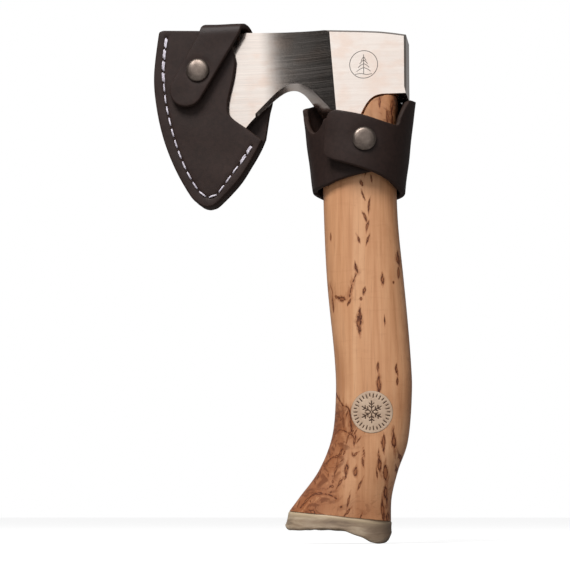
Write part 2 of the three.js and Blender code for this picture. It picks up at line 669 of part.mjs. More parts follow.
// The belt loop: one strap folded over, both ends held by two rivets through the holder's back.
function loopSolid() {
  const inner = LOOP.inner;
  const leg = inner + LOOP.thickness; // outer face of the leg on the holder
  const pinched = leg + FIT + LOOP.thickness; // outer face of the pinched ends
  const outer = leg + LOOP.gap + LOOP.thickness; // outer face of the standing leg
  const free = outer - LOOP.thickness;
  const shape = new THREE.Shape();
  shape.moveTo(inner, LOOP.bottom);
  shape.lineTo(inner, 250);
  shape.splineThru(points([[inner + 1, 254.6], [(inner + outer) / 2, LOOP.top],
    [outer - 1, 254.6], [outer, 250]]));
  shape.lineTo(outer, 214);
  shape.splineThru(points([[outer - 1.6, 208.5], [pinched + 0.8, 205], [pinched, 201.5]]));
  shape.lineTo(pinched, LOOP.bottom);
  shape.lineTo(leg + FIT, LOOP.bottom);
  shape.lineTo(leg + FIT, 202);
  shape.splineThru(points([[leg + 1.1, 206], [free - 1.2, 209.5], [free, 214]]));
  shape.lineTo(free, 250);
  shape.splineThru(points([[free - 0.7, 253], [(inner + outer) / 2, LOOP.top - LOOP.thickness],
    [leg + 0.7, 253], [leg, 250]]));
  shape.lineTo(leg, LOOP.bottom);
  const geometry = new THREE.ExtrudeGeometry(shape, {
    depth: 2 * LOOP.half, bevelEnabled: false, curveSegments: 2,
  });
  geometry.rotateX(Math.PI / 2);
  geometry.rotateZ(Math.PI / 2);
  geometry.translate(LOOP.x - LOOP.half, 0, 0);
  return { solid: solidOf(geometry), pinched };
}

const loop = loopSolid();
let beltLoop = loop.solid;
for (const centre of LOOP_RIVETS) beltLoop = beltLoop.subtract(rod(centre, HOLE, 5, FAR, 12));
piece("belt_loop", beltLoop, HIDE);
const POST_SEAT = 15.2; // the rivet heads sit flat inside the curved back
LOOP_RIVETS.forEach((centre, i) => {
  rivetPair(`belt_rivet_${i + 1}`, centre, POST_SEAT, loop.pinched);
});

export default set;
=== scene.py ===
"""A small bearded hatchet with a curly birch handle, in its leather blade sheath and belt holder.

Shapes are drawn in millimetres with the head's middle plane at y = 0, +Z up the handle and the bit
towards -X; placed() turns them into metres in the frame. Boxes of the frame's nodes give their places.
"""
import math
import random

import bmesh
import bpy
import numpy as np
from mathutils import Matrix, Vector, geometry


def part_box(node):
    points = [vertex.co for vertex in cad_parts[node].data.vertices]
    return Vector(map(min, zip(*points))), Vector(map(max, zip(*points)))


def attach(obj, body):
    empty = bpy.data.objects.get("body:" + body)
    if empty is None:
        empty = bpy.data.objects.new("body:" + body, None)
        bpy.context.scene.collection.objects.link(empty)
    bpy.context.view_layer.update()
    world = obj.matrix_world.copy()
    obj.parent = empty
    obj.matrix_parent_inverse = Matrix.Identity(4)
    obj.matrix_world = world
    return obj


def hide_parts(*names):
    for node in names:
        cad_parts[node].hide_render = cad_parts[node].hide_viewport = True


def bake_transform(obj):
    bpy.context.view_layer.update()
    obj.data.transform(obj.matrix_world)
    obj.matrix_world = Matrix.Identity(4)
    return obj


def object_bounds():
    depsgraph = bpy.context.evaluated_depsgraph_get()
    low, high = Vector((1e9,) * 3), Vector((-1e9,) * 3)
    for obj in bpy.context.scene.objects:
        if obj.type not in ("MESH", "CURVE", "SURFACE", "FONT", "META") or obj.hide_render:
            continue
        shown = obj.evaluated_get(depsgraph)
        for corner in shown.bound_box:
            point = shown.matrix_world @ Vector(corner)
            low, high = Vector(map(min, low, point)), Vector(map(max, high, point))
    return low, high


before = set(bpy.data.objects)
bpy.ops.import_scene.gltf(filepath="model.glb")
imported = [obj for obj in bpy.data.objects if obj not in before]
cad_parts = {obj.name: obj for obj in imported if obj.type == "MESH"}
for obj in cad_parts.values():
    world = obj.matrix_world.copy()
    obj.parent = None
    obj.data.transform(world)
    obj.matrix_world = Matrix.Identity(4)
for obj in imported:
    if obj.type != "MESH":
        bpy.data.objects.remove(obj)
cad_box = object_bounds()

MM = 0.001
NEAR, FAR_SIDE = -1, 1  # signs of Y for the side towards the camera and the other one


# ---------------------------------------------------------------- places read from the frame
def span(node):
    """Lowest and highest corner of a node, in the frame's millimetres."""
    low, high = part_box(node)
    return np.array(low) / MM, np.array(high) / MM


head_low, head_high = span("axe_head")
MIDDLE_Y = (head_low[1] + head_high[1]) / 2
HEAD_HALF = (head_high[1] - head_low[1]) / 2
POLL_X = head_high[0]
TOE_DROP = 1.1  # the blade's toe lies this far below the welt's top
TOP_Z = span("sheath_welt")[1][2] - TOE_DROP


def centre_of(node):
    """Middle of a node's box in the drawing's x and z."""
    low, high = span(node)
    return np.array([(low[0] + high[0]) / 2, (low[2] + high[2]) / 2])


def depth_of(node):
    """Lowest and highest y of a node in the drawing."""
    low, high = span(node)
    return low[1] - MIDDLE_Y, high[1] - MIDDLE_Y


def placed(points):
    """Metres in the frame from the drawing's millimetres."""
    return (np.asarray(points, float) + (0, MIDDLE_Y, 0)) * MM


# ---------------------------------------------------------------- curves in a plane
def between(a, b, c, d, t):
    """The Catmull-Rom curve from b to c at t, from 0 to 1; a and d are its other neighbours."""
    v0, v1 = (c - a) / 2, (d - b) / 2
    return (2 * b - 2 * c + v0 + v1) * t**3 + (3 * c - 3 * b - 2 * v0 - v1) * t**2 + v0 * t + b


def spline(points, steps=12):
    """A smooth curve through points, as a dense row of points."""
    p = np.asarray(points, float)
    p = np.vstack([p[:1], p, p[-1:]])
    t = np.linspace(0, 1, steps, endpoint=False)[:, None]
    rows = [between(a, b, c, d, t) for a, b, c, d in zip(p, p[1:], p[2:], p[3:])]
    return np.vstack([*rows, p[-1:]])


def run_of(line):
    """Length along a line at each of its points."""
    return np.concatenate([[0], np.cumsum(np.linalg.norm(np.diff(line, axis=0), axis=1))])


def unit(rows):
    """Each row scaled to a length of one."""
    return rows / np.linalg.norm(rows, axis=1)[:, None]


def full_turn(count):
    """Angles of equal steps round a circle, in radians."""
    return np.linspace(0, 2 * math.pi, count, endpoint=False)


def lerp(ends, share):
    """The value at a share of the way between two ends."""
    return ends[0] + (ends[1] - ends[0]) * share


def along(line, step):
    """The same line with its points an equal distance apart, near to step."""
    length = run_of(line)
    count = max(2, round(length[-1] / step) + 1)
    at = np.linspace(0, length[-1], count)
    return np.stack([np.interp(at, length, line[:, k]) for k in range(line.shape[1])], 1)


def outline(runs, step):
    """A closed outline of smooth runs that meet in corners. Each run starts where the last one ended."""
    pieces = []
    start = np.asarray(runs[0][0], float)
    end = start
    for i, run in enumerate(runs):
        points = np.asarray(run, float) if i == 0 else np.vstack([end, np.asarray(run, float)])
        smooth = points if len(points) == 2 else spline(points)
        pieces.append(along(smooth, step)[:-1])
        end = points[-1]
    if np.linalg.norm(end - start) > 1e-6:
        pieces.append(along(np.vstack([end, start]), step)[:-1])
    return np.vstack(pieces)


def arc(centre, radius, start, stop, step):
    """Points of an arc; its angles are in radians."""
    count = max(3, round(abs(stop - start) * radius / step))
    angle = np.linspace(start, stop, count)
    return np.stack([centre[0] + radius * np.cos(angle), centre[1] + radius * np.sin(angle)], 1)


def turning(loop):
    """Twice the area inside a loop, positive when it runs anticlockwise."""
    after = np.roll(loop, -1, 0)
    return np.sum(loop[:, 0] * after[:, 1] - after[:, 0] * loop[:, 1])


def inward(loop):
    """For each point of a loop, the mitred step inwards for an offset of one."""
    side = unit(np.roll(loop, -1, 0) - loop)
    normal = np.stack([-side[:, 1], side[:, 0]], 1) * np.sign(turning(loop))
    before = np.roll(normal, 1, 0)
    return (normal + before) / (1 + np.sum(normal * before, 1))[:, None].clip(0.4)


def distance(points, line, closed=True):
    """Distance of each point to a line of points."""
    a = line if closed else line[:-1]
    b = np.roll(line, -1, 0) if closed else line[1:]
    run = b - a
    reach = np.maximum(np.sum(run * run, 1), 1e-12)
    found = []
    for part in np.array_split(points, max(1, len(points) // 1500)):
        gap = part[:, None] - a
        t = (np.sum(gap * run, 2) / reach).clip(0, 1)
        found.append(np.linalg.norm(gap - t[:, :, None] * run, axis=2).min(1))
    return np.concatenate(found)


def inside(points, loop):
    """Which points lie inside a loop."""
    a, b = loop, np.roll(loop, -1, 0)
    x, y = points[:, :1], points[:, 1:]
    crosses = (a[:, 1] > y) != (b[:, 1] > y)
    rise = np.where(b[:, 1] == a[:, 1], 1, b[:, 1] - a[:, 1])
    at = a[:, 0] + (y - a[:, 1]) * (b[:, 0] - a[:, 0]) / rise
    return np.sum(crosses & (x < at), 1) % 2 == 1


def ripple(points, size, seed):
    """Smooth noise of about -1 to 1 over points, from a few crossing waves as long as size."""
    draw = random.Random(seed)
    total = np.zeros(len(points))
    waves = 7
    for _ in range(waves):
        way = np.array([draw.gauss(0, 1) for _ in range(points.shape[1])])
        way *= 2 * math.pi / size / np.linalg.norm(way) * draw.uniform(0.6, 1.5)
        total += np.sin(points @ way + draw.uniform(0, 2 * math.pi))
    return total / math.sqrt(waves)


# ---------------------------------------------------------------- meshes
def mesh_of(name, points, faces, crease=None):
    """A smooth mesh object with its faces turned outwards; edges sharper than crease stay sharp."""
    mesh = bpy.data.meshes.new(name)
    mesh.from_pydata(placed(points).tolist(), [], [tuple(int(i) for i in face) for face in faces])
    made = bmesh.new()
    made.from_mesh(mesh)
    bmesh.ops.recalc_face_normals(made, faces=made.faces)
    made.to_mesh(mesh)
    made.free()
    mesh.shade_smooth()
    if crease:
        mesh.set_sharp_from_angle(angle=math.radians(crease))
    piece = bpy.data.objects.new(name, mesh)
    bpy.context.scene.collection.objects.link(piece)
    return piece


def tag(piece, name, values):
    """Stores one number for each point of a piece, for its material."""
    attribute = piece.data.attributes.new(name, "FLOAT", "POINT")
    attribute.data.foreach_set("value", np.asarray(values, np.float32))


def dress(piece, look, body, nodes=()):
    """Gives a piece its material, its body and the nodes that it stands for."""
    piece.data.materials.clear()
    piece.data.materials.append(look)
    if body:
        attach(piece, body)
    if nodes:
        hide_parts(*nodes)
    return piece


def upright(flat, y):
    """Points of the xz plane at one y, or each at its own."""
    return np.stack([flat[:, 0], np.broadcast_to(y, len(flat)), flat[:, 1]], 1)


def band(first, second, count):
    """Faces between two closed rings of count points, from the numbers of their first points."""
    turns = [(i, (i + 1) % count) for i in range(count)]
    return [(first + i, first + k, second + k, second + i) for i, k in turns]


def moved(points, place):
    """Points moved by a matrix of the drawing."""
    matrix = np.array(place)
    return points @ matrix[:3, :3].T + matrix[:3, 3]


def rim_of(loop):
    """The edges round a loop, as pairs of point numbers."""
    return [(i, (i + 1) % len(loop)) for i in range(len(loop))]


def loft(rings):
    """Points and faces of rings (count, sides, 3) joined in order, each end closed to its middle."""
    rings = np.asarray(rings, float)
    count, sides = rings.shape[:2]
    points = np.vstack([rings.reshape(-1, 3), rings[0].mean(0), rings[-1].mean(0)])
    first, last = count * sides, count * sides + 1
    faces = []
    for j in range(sides):
        k = (j + 1) % sides
        faces.append((first, k, j))
        faces.append((last, (count - 1) * sides + j, (count - 1) * sides + k))
        for i in range(count - 1):
            faces.append((i * sides + j, i * sides + k, (i + 1) * sides + k, (i + 1) * sides + j))
    return points, faces


def joined(parts):
    """Several (points, faces) as one."""
    points, faces, base = [], [], 0
    for some, sides in parts:
        points.append(np.asarray(some, float))
        faces += [tuple(i + base for i in side) for side in sides]
        base += len(some)
    return np.vstack(points), faces


def fill(loop, spacing, steps, extra):
    """Points and triangles inside a loop: its own points first, rows near the edge, then a grid."""
    step_in = inward(loop)
    cloud = [loop]
    for step in steps:
        row = loop + step_in * step
        cloud.append(row[inside(row, loop) & (distance(row, loop) > 0.94 * step)])
    low, high = loop.min(0), loop.max(0)
    columns = np.arange(low[0], high[0], spacing)
    rows = np.arange(low[1], high[1], spacing * 0.866)
    x, y = np.meshgrid(columns, rows)
    x[1::2] += spacing / 2
    grid = np.stack([x.ravel(), y.ravel()], 1)
    if extra is not None:
        cloud.append(extra[inside(extra, loop) & (distance(extra, loop) > steps[-1] + 0.2)])
        grid = grid[distance(grid, extra, closed=False) > spacing * 0.6]
    cloud.append(grid[inside(grid, loop) & (distance(grid, loop) > steps[-1] + 0.6 * spacing)])
    points = np.vstack(cloud)
    found = geometry.delaunay_2d_cdt([Vector(p) for p in points], rim_of(loop), [], 1, 1e-6)
    back = {olds[0]: new for new, olds in enumerate(found[3]) if olds}
    order = [back[i] for i in range(len(loop))]
    order += [i for i in range(len(found[0])) if i not in set(order)]
    rank = {old: new for new, old in enumerate(order)}
    flat = np.array([found[0][i] for i in order])
    return flat, [tuple(rank[i] for i in face) for face in found[2]]


def slab(loop, place, thick, spacing=1.6, edge=0.7, relief=None, extra=None, butt=None, rows=5):
    """A sheet of leather over a loop, with rounded cut edges, as points, faces and edge values.

    place(flat points, depth) gives 3-D points, where depth runs from 0 at the outer face to thick.
    relief(flat points) is how deep the outer face is pressed in. butt marks loop points without
    a rounded edge, where the sheet meets another one.
    """
    steps = edge * np.array([0.12, 0.35, 0.7, 1.1])
    flat, triangles = fill(loop, spacing, steps, extra)
    round_loop = loop if butt is None else loop[~butt]
    gap = distance(flat, round_loop, closed=butt is None)
    short = (edge - gap).clip(0)
    drop = edge - np.sqrt(np.maximum(edge**2 - short**2, 0))
    pressed = 0 if relief is None else relief(flat) * (gap / edge).clip(0, 1)
    outer = place(flat, drop + pressed)
    inner = place(flat, thick - drop)
    count = len(loop)
    step_out = -inward(loop) * ((edge - gap[:count]) / edge).clip(0, 1)[:, None]
    walls = []
    for share in np.linspace(0, 1, rows + 2)[1:-1]:
        depth = drop[:count] + (thick - 2 * drop[:count]) * share
        walls.append(place(loop + step_out * 0.25 * edge * math.sin(math.pi * share), depth))
    points = np.vstack([outer, inner, *walls])
    base = len(flat)
    faces = list(triangles) + [tuple(i + base for i in face[::-1]) for face in triangles]
    levels = [0] + [2 * base + i * count for i in range(rows)] + [base]
    for top, bottom in zip(levels, levels[1:]):
        for i in range(count):
            k = (i + 1) % count
            faces.append((top + i, bottom + i, bottom + k, top + k))
    rim = (1 - gap / (1.5 * edge)).clip(0, 1)
    return points, faces, np.concatenate([rim, rim, np.tile(rim[:count], rows)])


def leather_piece(name, made, body, nodes):
    """A dressed piece of leather from what slab() made."""
    points, faces, rim = made
    piece = mesh_of(name, points, faces, crease=50)
    tag(piece, "rim", rim)
    return dress(piece, LEATHER, body, nodes)


def combined(base, tool, operation):
    """Cuts or joins base with tool, and removes tool."""
    change = base.modifiers.new(operation, "BOOLEAN")
    change.operation = operation
    change.object = tool
    change.solver = "EXACT"
    bpy.context.view_layer.update()
    found = base.evaluated_get(bpy.context.evaluated_depsgraph_get())
    mesh = bpy.data.meshes.new_from_object(found)
    base.modifiers.clear()
    base.data = mesh
    bpy.data.objects.remove(tool)
    return base


def tidied(piece):
    """Welds the slivers that a cut leaves, and splits its many-sided faces evenly."""
    made = bmesh.new()
    made.from_mesh(piece.data)
    bmesh.ops.remove_doubles(made, verts=made.verts, dist=2e-6)
    bmesh.ops.dissolve_degenerate(made, edges=made.edges, dist=2e-6)
    many = [face for face in made.faces if len(face.verts) > 4]
    bmesh.ops.triangulate(made, faces=many, ngon_method="EAR_CLIP")
    made.to_mesh(piece.data)
    made.free()


# ---------------------------------------------------------------- material nodes
def tone(red, green, blue):
    """A linear colour from the 0 to 255 values of a paint chart; each is above 10."""
    return [((c / 255 + 0.055) / 1.055) ** 2.4 for c in (red, green, blue)] + [1]


def set_marks(marks, stops):
    """Fills a colour ramp from (place, colour) stops."""
    while len(marks) < len(stops):
        marks.new(0.5)
    for mark, (place, colour) in zip(marks, stops):
        mark.position = place
        mark.color = colour


class Look:
    """A node material round one Principled shader. Lengths in its textures are metres."""

    def __init__(self, name, **values):
        """values holds the shader's own settings, with _ for each space in a socket's name."""
        self.material = bpy.data.materials.new(name)
        self.material.use_nodes = True
        self.tree = self.material.node_tree
        self.tree.nodes.clear()
        self.shader = self.add("ShaderNodeBsdfPrincipled")
        output = self.add("ShaderNodeOutputMaterial")
        self.tree.links.new(self.shader.outputs[0], output.inputs["Surface"])
        self.place = self.add("ShaderNodeTexCoord").outputs["Object"]
        for socket, value in values.items():
            self.shader.inputs[socket.replace("_", " ")].default_value = value

    def add(self, kind, settings=None, **values):
        """A new node: settings are its properties, and values go to the sockets of those names."""
        node = self.tree.nodes.new(kind)
        for key, value in (settings or {}).items():
            setattr(node, key, value)
        for socket, value in values.items():
            self.put(node.inputs[socket.replace("_", " ")], value)
        return node

    def put(self, socket, value):
        """Links an output to a socket, or sets the socket's own value."""
        if isinstance(value, bpy.types.NodeSocket):
            self.tree.links.new(value, socket)
        else:
            socket.default_value = value

    def stretched(self, x, y, z):
        """The piece's own coordinates times a scale along each axis."""
        node = self.add("ShaderNodeVectorMath", {"operation": "MULTIPLY"})
        self.put(node.inputs[0], self.place)
        node.inputs[1].default_value = (x, y, z)
        return node.outputs[0]

    def noise(self, x, y, z, detail=2, roughness=0.5, distortion=0.0):
        """Cloud noise with x, y and z cells to the metre."""
        node = self.add("ShaderNodeTexNoise", Vector=self.stretched(x, y, z), Scale=1.0,
                        Detail=detail, Roughness=roughness, Distortion=distortion)
        return node.outputs["Fac"]

    def cells(self, x, y, z, feature="F1"):
        """Distance to the middle of the nearest cell, with x, y and z cells to the metre."""
        place = self.stretched(x, y, z)
        node = self.add("ShaderNodeTexVoronoi", {"feature": feature}, Vector=place, Scale=1.0)
        return node.outputs["Distance"]

    def value(self, name):
        """The number that tag() stored for each point."""
        return self.add("ShaderNodeAttribute", {"attribute_name": name}).outputs["Fac"]

    def math(self, operation, a, b):
        """The result of one sum; a and b are numbers or outputs."""
        node = self.add("ShaderNodeMath", {"operation": operation})
        self.put(node.inputs[0], a)
        self.put(node.inputs[1], b)
        return node.outputs[0]

    def ranged(self, value, low, high, to_low=0.0, to_high=1.0):
        """value moved from one range to another, smoothly and without leaving it."""
        node = self.add("ShaderNodeMapRange", {"interpolation_type": "SMOOTHSTEP"}, Value=value)
        limits = {"From Min": low, "From Max": high, "To Min": to_low, "To Max": to_high}
        for socket, number in limits.items():
            self.put(node.inputs[socket], number)
        return node.outputs[0]

    def ramp(self, fac, stops):
        """A colour for each value of fac, from (place, colour) stops."""
        node = self.add("ShaderNodeValToRGB", Fac=fac)
        set_marks(node.color_ramp.elements, stops)
        return node.outputs["Color"]

    def mix(self, fac, a, b):
        """Colour a where fac is 0 and b where it is 1."""
        node = self.add("ShaderNodeMix", {"data_type": "RGBA", "blend_type": "MIX"})
        self.put(node.inputs["Factor"], fac)
        self.put(node.inputs[6], a)
        self.put(node.inputs[7], b)
        return node.outputs[2]

    def bump(self, height, strength, depth, below=None):
        """A bump of depth metres; below is a bump that it lies on."""
        node = self.add("ShaderNodeBump", Height=height, Strength=strength, Distance=depth)
        if below is not None:
            self.put(node.inputs["Normal"], below)
        return node.outputs[0]

    def finish(self, colour, roughness, normal=None):
        """Connects the shader and gives the material."""
        self.put(self.shader.inputs["Base Color"], colour)
        self.put(self.shader.inputs["Roughness"], roughness)
        if normal is not None:
            self.put(self.shader.inputs["Normal"], normal)
        return self.material


# ---------------------------------------------------------------- materials
def steel_look():
    """Satin steel with fine lines ground along its length."""
    look = Look("satin_steel", Metallic=1.0)
    lines = look.noise(12, 12, 4200, detail=3, roughness=0.6)
    bands = look.noise(9, 9, 420, detail=3, roughness=0.6)
    smudge = look.noise(24, 24, 34, detail=2)
    colour = look.ramp(bands, [(0.3, tone(232, 219, 210)), (0.7, tone(240, 230, 222))])
    warm = look.noise(70, 70, 110, detail=3)
    colour = look.mix(look.ranged(warm, 0.42, 0.68, 0.0, 0.7), colour, tone(233, 211, 197))
    smear = look.ranged(smudge, 0.35, 0.65, -0.01, 0.02)
    shine = look.math("ADD", look.ranged(lines, 0.3, 0.7, 0.14, 0.25), smear)
    normal = look.bump(lines, 0.035, 0.00003)
    return look.finish(colour, shine, normal)


def oxide_look():
    """The dark lines of the etched mark."""
    look = Look("etched_line", Metallic=0.6)
    cloud = look.noise(900, 900, 900, detail=3)
    colour = look.ramp(cloud, [(0.3, tone(58, 54, 52)), (0.7, tone(92, 86, 82))])
    return look.finish(colour, look.ranged(cloud, 0.3, 0.7, 0.4, 0.6))


def leather_look():
    """Smooth vegetable-tanned leather, dyed brown-black, with a burnished cut edge."""
    look = Look("leather")
    cloud = look.noise(38, 38, 38, detail=4, roughness=0.6)
    fine = look.noise(420, 420, 420, detail=3, roughness=0.6)
    grain = look.cells(1250, 1250, 1250, "SMOOTH_F1")
    pores = look.noise(2100, 2100, 2100, detail=2)
    rim = look.ranged(look.value("rim"), 0.35, 0.95)
    face = look.ramp(cloud, [(0.25, tone(41, 29, 26)), (0.5, tone(47, 34, 30)), (0.78, tone(54, 40, 36))])
    face = look.mix(look.ranged(fine, 0.35, 0.7, 0.0, 0.35), face, tone(28, 21, 19))
    colour = look.mix(look.math("MULTIPLY", rim, 0.6), face, tone(52, 40, 35))
    look.put(look.shader.inputs["Specular IOR Level"], look.ranged(rim, 0.0, 1.0, 0.18, 0.10))
    shine = look.math("ADD", look.ranged(cloud, 0.3, 0.7, 0.47, 0.60), look.math("MULTIPLY", rim, 0.08))
    normal = look.bump(grain, 0.22, 0.00012)
    normal = look.bump(pores, 0.12, 0.00006, normal)
    normal = look.bump(fine, 0.18, 0.00015, normal)
    return look.finish(colour, shine, normal)


def thread_look():
    """Waxed thread, nearly white with a lilac-grey shade."""
    look = Look("waxed_thread")
    cloud = look.noise(700, 700, 700, detail=3)
    fibre = look.noise(3500, 3500, 3500, detail=2)
    colour = look.ramp(cloud, [(0.3, tone(178, 170, 182)), (0.7, tone(232, 226, 234))])
    return look.finish(colour, look.ranged(cloud, 0.3, 0.7, 0.5, 0.7), look.bump(fibre, 0.3, 0.00008))


def nickel_look():
    """Antique nickel, browned and softly worn."""
    look = Look("antique_nickel", Metallic=1.0)
    cloud = look.noise(240, 240, 240, detail=4, roughness=0.6)
    scratch = look.noise(300, 300, 5200, detail=3, roughness=0.7)
    tones = [(0.28, tone(98, 87, 80)), (0.5, tone(120, 108, 100)), (0.75, tone(144, 131, 122))]
    shine = look.ranged(cloud, 0.3, 0.7, 0.48, 0.36)
    return look.finish(look.ramp(cloud, tones), shine, look.bump(scratch, 0.12, 0.00003))


def antler_look():
    """Sawn and polished antler: grey-beige, streaked, with fine pores, a painted highlight along its top edge
    and painted shade on its back end.
    """
    look = Look("antler")
    streak = look.noise(45, 60, 260, detail=4, roughness=0.6, distortion=0.4)
    cloud = look.noise(55, 55, 70, detail=3)
    pores = look.cells(900, 900, 900)
    top_highlight = look.value("top_highlight")
    tones = [(0.30, tone(102, 84, 65)), (0.47, tone(156, 134, 110)), (0.66, tone(198, 178, 152))]
    colour = look.ramp(streak, tones)
    colour = look.mix(look.ranged(cloud, 0.4, 0.75, 0.0, 0.5), colour, tone(128, 108, 92))
    # Painted shade on the back end of the cap, then a painted highlight along its top edge.
    colour = look.mix(look.value("back_shade"), colour, tone(104, 84, 66))
    colour = look.mix(look.math("MULTIPLY", top_highlight, 0.8), colour, tone(200, 178, 146))
    colour = look.mix(look.ranged(pores, 0.0, 0.22, 0.35, 0.0), colour, tone(104, 84, 68))
    normal = look.bump(streak, 0.2, 0.0002)
    normal = look.bump(pores, 0.1, 0.0001, normal)
    return look.finish(colour, look.ranged(cloud, 0.3, 0.7, 0.42, 0.58), normal)


def inlay_look():
    """A polished antler disc with its ornament burnt in."""
    look = Look("antler_inlay")
    cloud = look.noise(160, 160, 160, detail=3)
    fine = look.noise(1600, 1600, 1600, detail=2)
    burnt = look.math("ADD", look.value("burnt"), look.ranged(fine, 0.3, 0.7, -0.12, 0.12))
    base = look.ramp(cloud, [(0.3, tone(184, 156, 132)), (0.7, tone(203, 177, 152))])
    base = look.mix(look.ranged(look.value("burnt"), 0.15, 0.6, 0.0, 0.35), base, tone(150, 112, 76))
    base = look.mix(look.ranged(look.value("rim"), 0.25, 0.9, 0.0, 0.75), base, tone(112, 80, 54))
    colour = look.mix(look.ranged(burnt, 0.48, 0.62), base, tone(66, 44, 28))
    return look.finish(colour, look.ranged(burnt, 0.4, 0.6, 0.42, 0.75), look.bump(fine, 0.08, 0.0001))


def birch_look():
    """Oiled curly birch with brown flecks and, towards the butt, a reddish burl; painted shade darkens it
    beside both edges and under the poll.
    """
    look = Look("curly_birch", Specular_IOR_Level=0.28)
    streak = look.noise(150, 150, 7, detail=4, roughness=0.6, distortion=0.3)
    fibre = look.noise(1100, 1100, 30, detail=4, roughness=0.7)
    curl = look.noise(60, 60, 330, detail=3, roughness=0.6, distortion=0.8)
    cloud = look.noise(34, 34, 26, detail=4)
    burl = look.noise(75, 75, 95, detail=5, roughness=0.62, distortion=2.4)
    tones = [(0.27, tone(174, 117, 78)), (0.5, tone(203, 149, 108)), (0.76, tone(220, 171, 131))]
    colour = look.ramp(streak, tones)
    colour = look.mix(look.ranged(cloud, 0.45, 0.72, 0.0, 0.55), colour, tone(170, 112, 73))
    colour = look.mix(look.ranged(curl, 0.52, 0.75, 0.0, 0.12), colour, tone(158, 102, 64))
    colour = look.mix(look.ranged(fibre, 0.52, 0.75, 0.0, 0.38), colour, tone(142, 92, 58))
    # The red value holds the reddish burl and also painted shade beside both edges and under the poll.
    red = look.value("red")
    colour = look.mix(look.ranged(red, 0.0, 1.0, 0.0, 0.85), colour, tone(142, 82, 48))
    swirl = look.math("MULTIPLY", look.ranged(burl, 0.50, 0.60), look.ranged(red, 0.05, 0.7, 0.0, 0.7))
    colour = look.mix(swirl, colour, tone(104, 54, 30))
    pale = look.math("MULTIPLY", look.ranged(burl, 0.44, 0.36), look.ranged(red, 0.05, 0.7, 0.0, 0.5))
    colour = look.mix(pale, colour, tone(198, 142, 100))
    return with_flecks(look, colour, fibre, curl)


def with_flecks(look, colour, fibre, curl):
    """The flecks: a soft brown halo, a ragged dark outline and a redder heart."""
    coarse = look.noise(520, 520, 210, detail=3, roughness=0.65)
    fine = look.noise(1700, 1700, 420, detail=2)
    ragged = look.math("ADD", look.value("fleck"), look.ranged(coarse, 0.3, 0.7, -0.42, 0.30))
    ragged = look.math("ADD", ragged, look.ranged(fine, 0.3, 0.7, -0.12, 0.12))
    colour = look.mix(look.ranged(ragged, -0.80, 0.05, 0.0, 0.66), colour, tone(142, 80, 44))
    depth = look.ramp(ragged, [(0.06, tone(112, 60, 33)), (0.22, tone(66, 31, 17)), (0.42, tone(100, 52, 29)),
                               (0.75, tone(154, 96, 60))])
    colour = look.mix(look.ranged(ragged, -0.04, 0.20), colour, depth)
    dull = look.ranged(ragged, 0.0, 0.3, 0.0, 0.12)
    shine = look.math("ADD", look.ranged(fibre, 0.3, 0.7, 0.42, 0.54), dull)
    normal = look.bump(fibre, 0.16, 0.00012)
    normal = look.bump(curl, 0.06, 0.0003, normal)
    return look.finish(colour, shine, normal)


def dark_wood_look():
    """Oiled dark wood of the wedge and the butt's pins."""
    look = Look("wedge_wood")
    fibre = look.noise(700, 700, 60, detail=4, roughness=0.6)
    colour = look.ramp(fibre, [(0.3, tone(108, 70, 44)), (0.7, tone(150, 104, 68))])
    return look.finish(colour, look.ranged(fibre, 0.3, 0.7, 0.5, 0.65), look.bump(fibre, 0.25, 0.0002))


STEEL = steel_look()
OXIDE = oxide_look()
LEATHER = leather_look()
THREAD = thread_look()
NICKEL = nickel_look()
ANTLER = antler_look()
INLAY = inlay_look()
BIRCH = birch_look()
DARK_WOOD = dark_wood_look()


# ---------------------------------------------------------------- the camera and the studio
CAMERA_AZIMUTH = 8  # degrees to the right of the front
CAMERA_RISE = -7  # degrees above the horizon
CAMERA_DISTANCE = 1.0
TARGET_DROP = 0.0032  # how far below the middle of the set the camera looks
TARGET = Vector((0.0, MIDDLE_Y * MM, (cad_box[0].z + cad_box[1].z) / 2 - TARGET_DROP))
LENS, SENSOR = 119.2, 36.0
FLOOR_SIZE = 60.0
FLOOR_GAP = 0.0001  # the floor lies this far under the butt
FLOOR_GLOW = 0.82  # what the camera sees of the floor besides the light that falls on it


def away(azimuth, rise):
    """Unit vector towards a place round the object; azimuth 0 is the front, in degrees."""
    a, e = math.radians(azimuth), math.radians(rise)
    return Vector((math.sin(a) * math.cos(e), -math.cos(a) * math.cos(e), math.sin(e)))


def make_camera():
    """The camera of the main view."""
    data = bpy.data.cameras.new("camera")
    data.lens = LENS
    data.sensor_width = SENSOR
    data.clip_start = 0.01
    data.clip_end = 200
    camera = bpy.data.objects.new("camera", data)
    back = away(CAMERA_AZIMUTH, CAMERA_RISE)
    camera.location = TARGET + back * CAMERA_DISTANCE
    camera.rotation_mode = "QUATERNION"
    camera.rotation_quaternion = (-back).to_track_quat("-Z", "Y")
    bpy.context.scene.collection.objects.link(camera)
    bpy.context.scene.camera = camera


def soft_light(name, azimuth, rise, reach, size, power):
    """A round area light, reach metres from the object and facing it."""
    data = bpy.data.lights.new(name, "AREA")
    data.shape = "DISK"
    data.size = size
    data.energy = power
    light = bpy.data.objects.new(name, data)
    back = away(azimuth, rise)
    light.location = TARGET + back * reach
    light.rotation_mode = "QUATERNION"
    light.rotation_quaternion = back.to_track_quat("Z", "Y")
    bpy.context.scene.collection.objects.link(light)


# Brightness of the studio round the horizon: degrees to the left of the front, and level.
STUDIO = [(-180, 0.22), (-162, 0.22), (-142, 0.26), (-100, 0.15), (-66, 0.09), (-44, 0.30),
          (-24, 0.82), (-6, 0.96), (6, 1.02), (12.5, 1.27), (16, 1.02), (19, 0.44), (22, 0.06), (27, 0.01),
          (60, 0.01), (74, 0.07), (86, 0.28), (104, 0.34), (142, 0.34), (162, 0.24), (180, 0.22)]
STUDIO_TOP = 1.5  # the brightest level that the ramp can hold


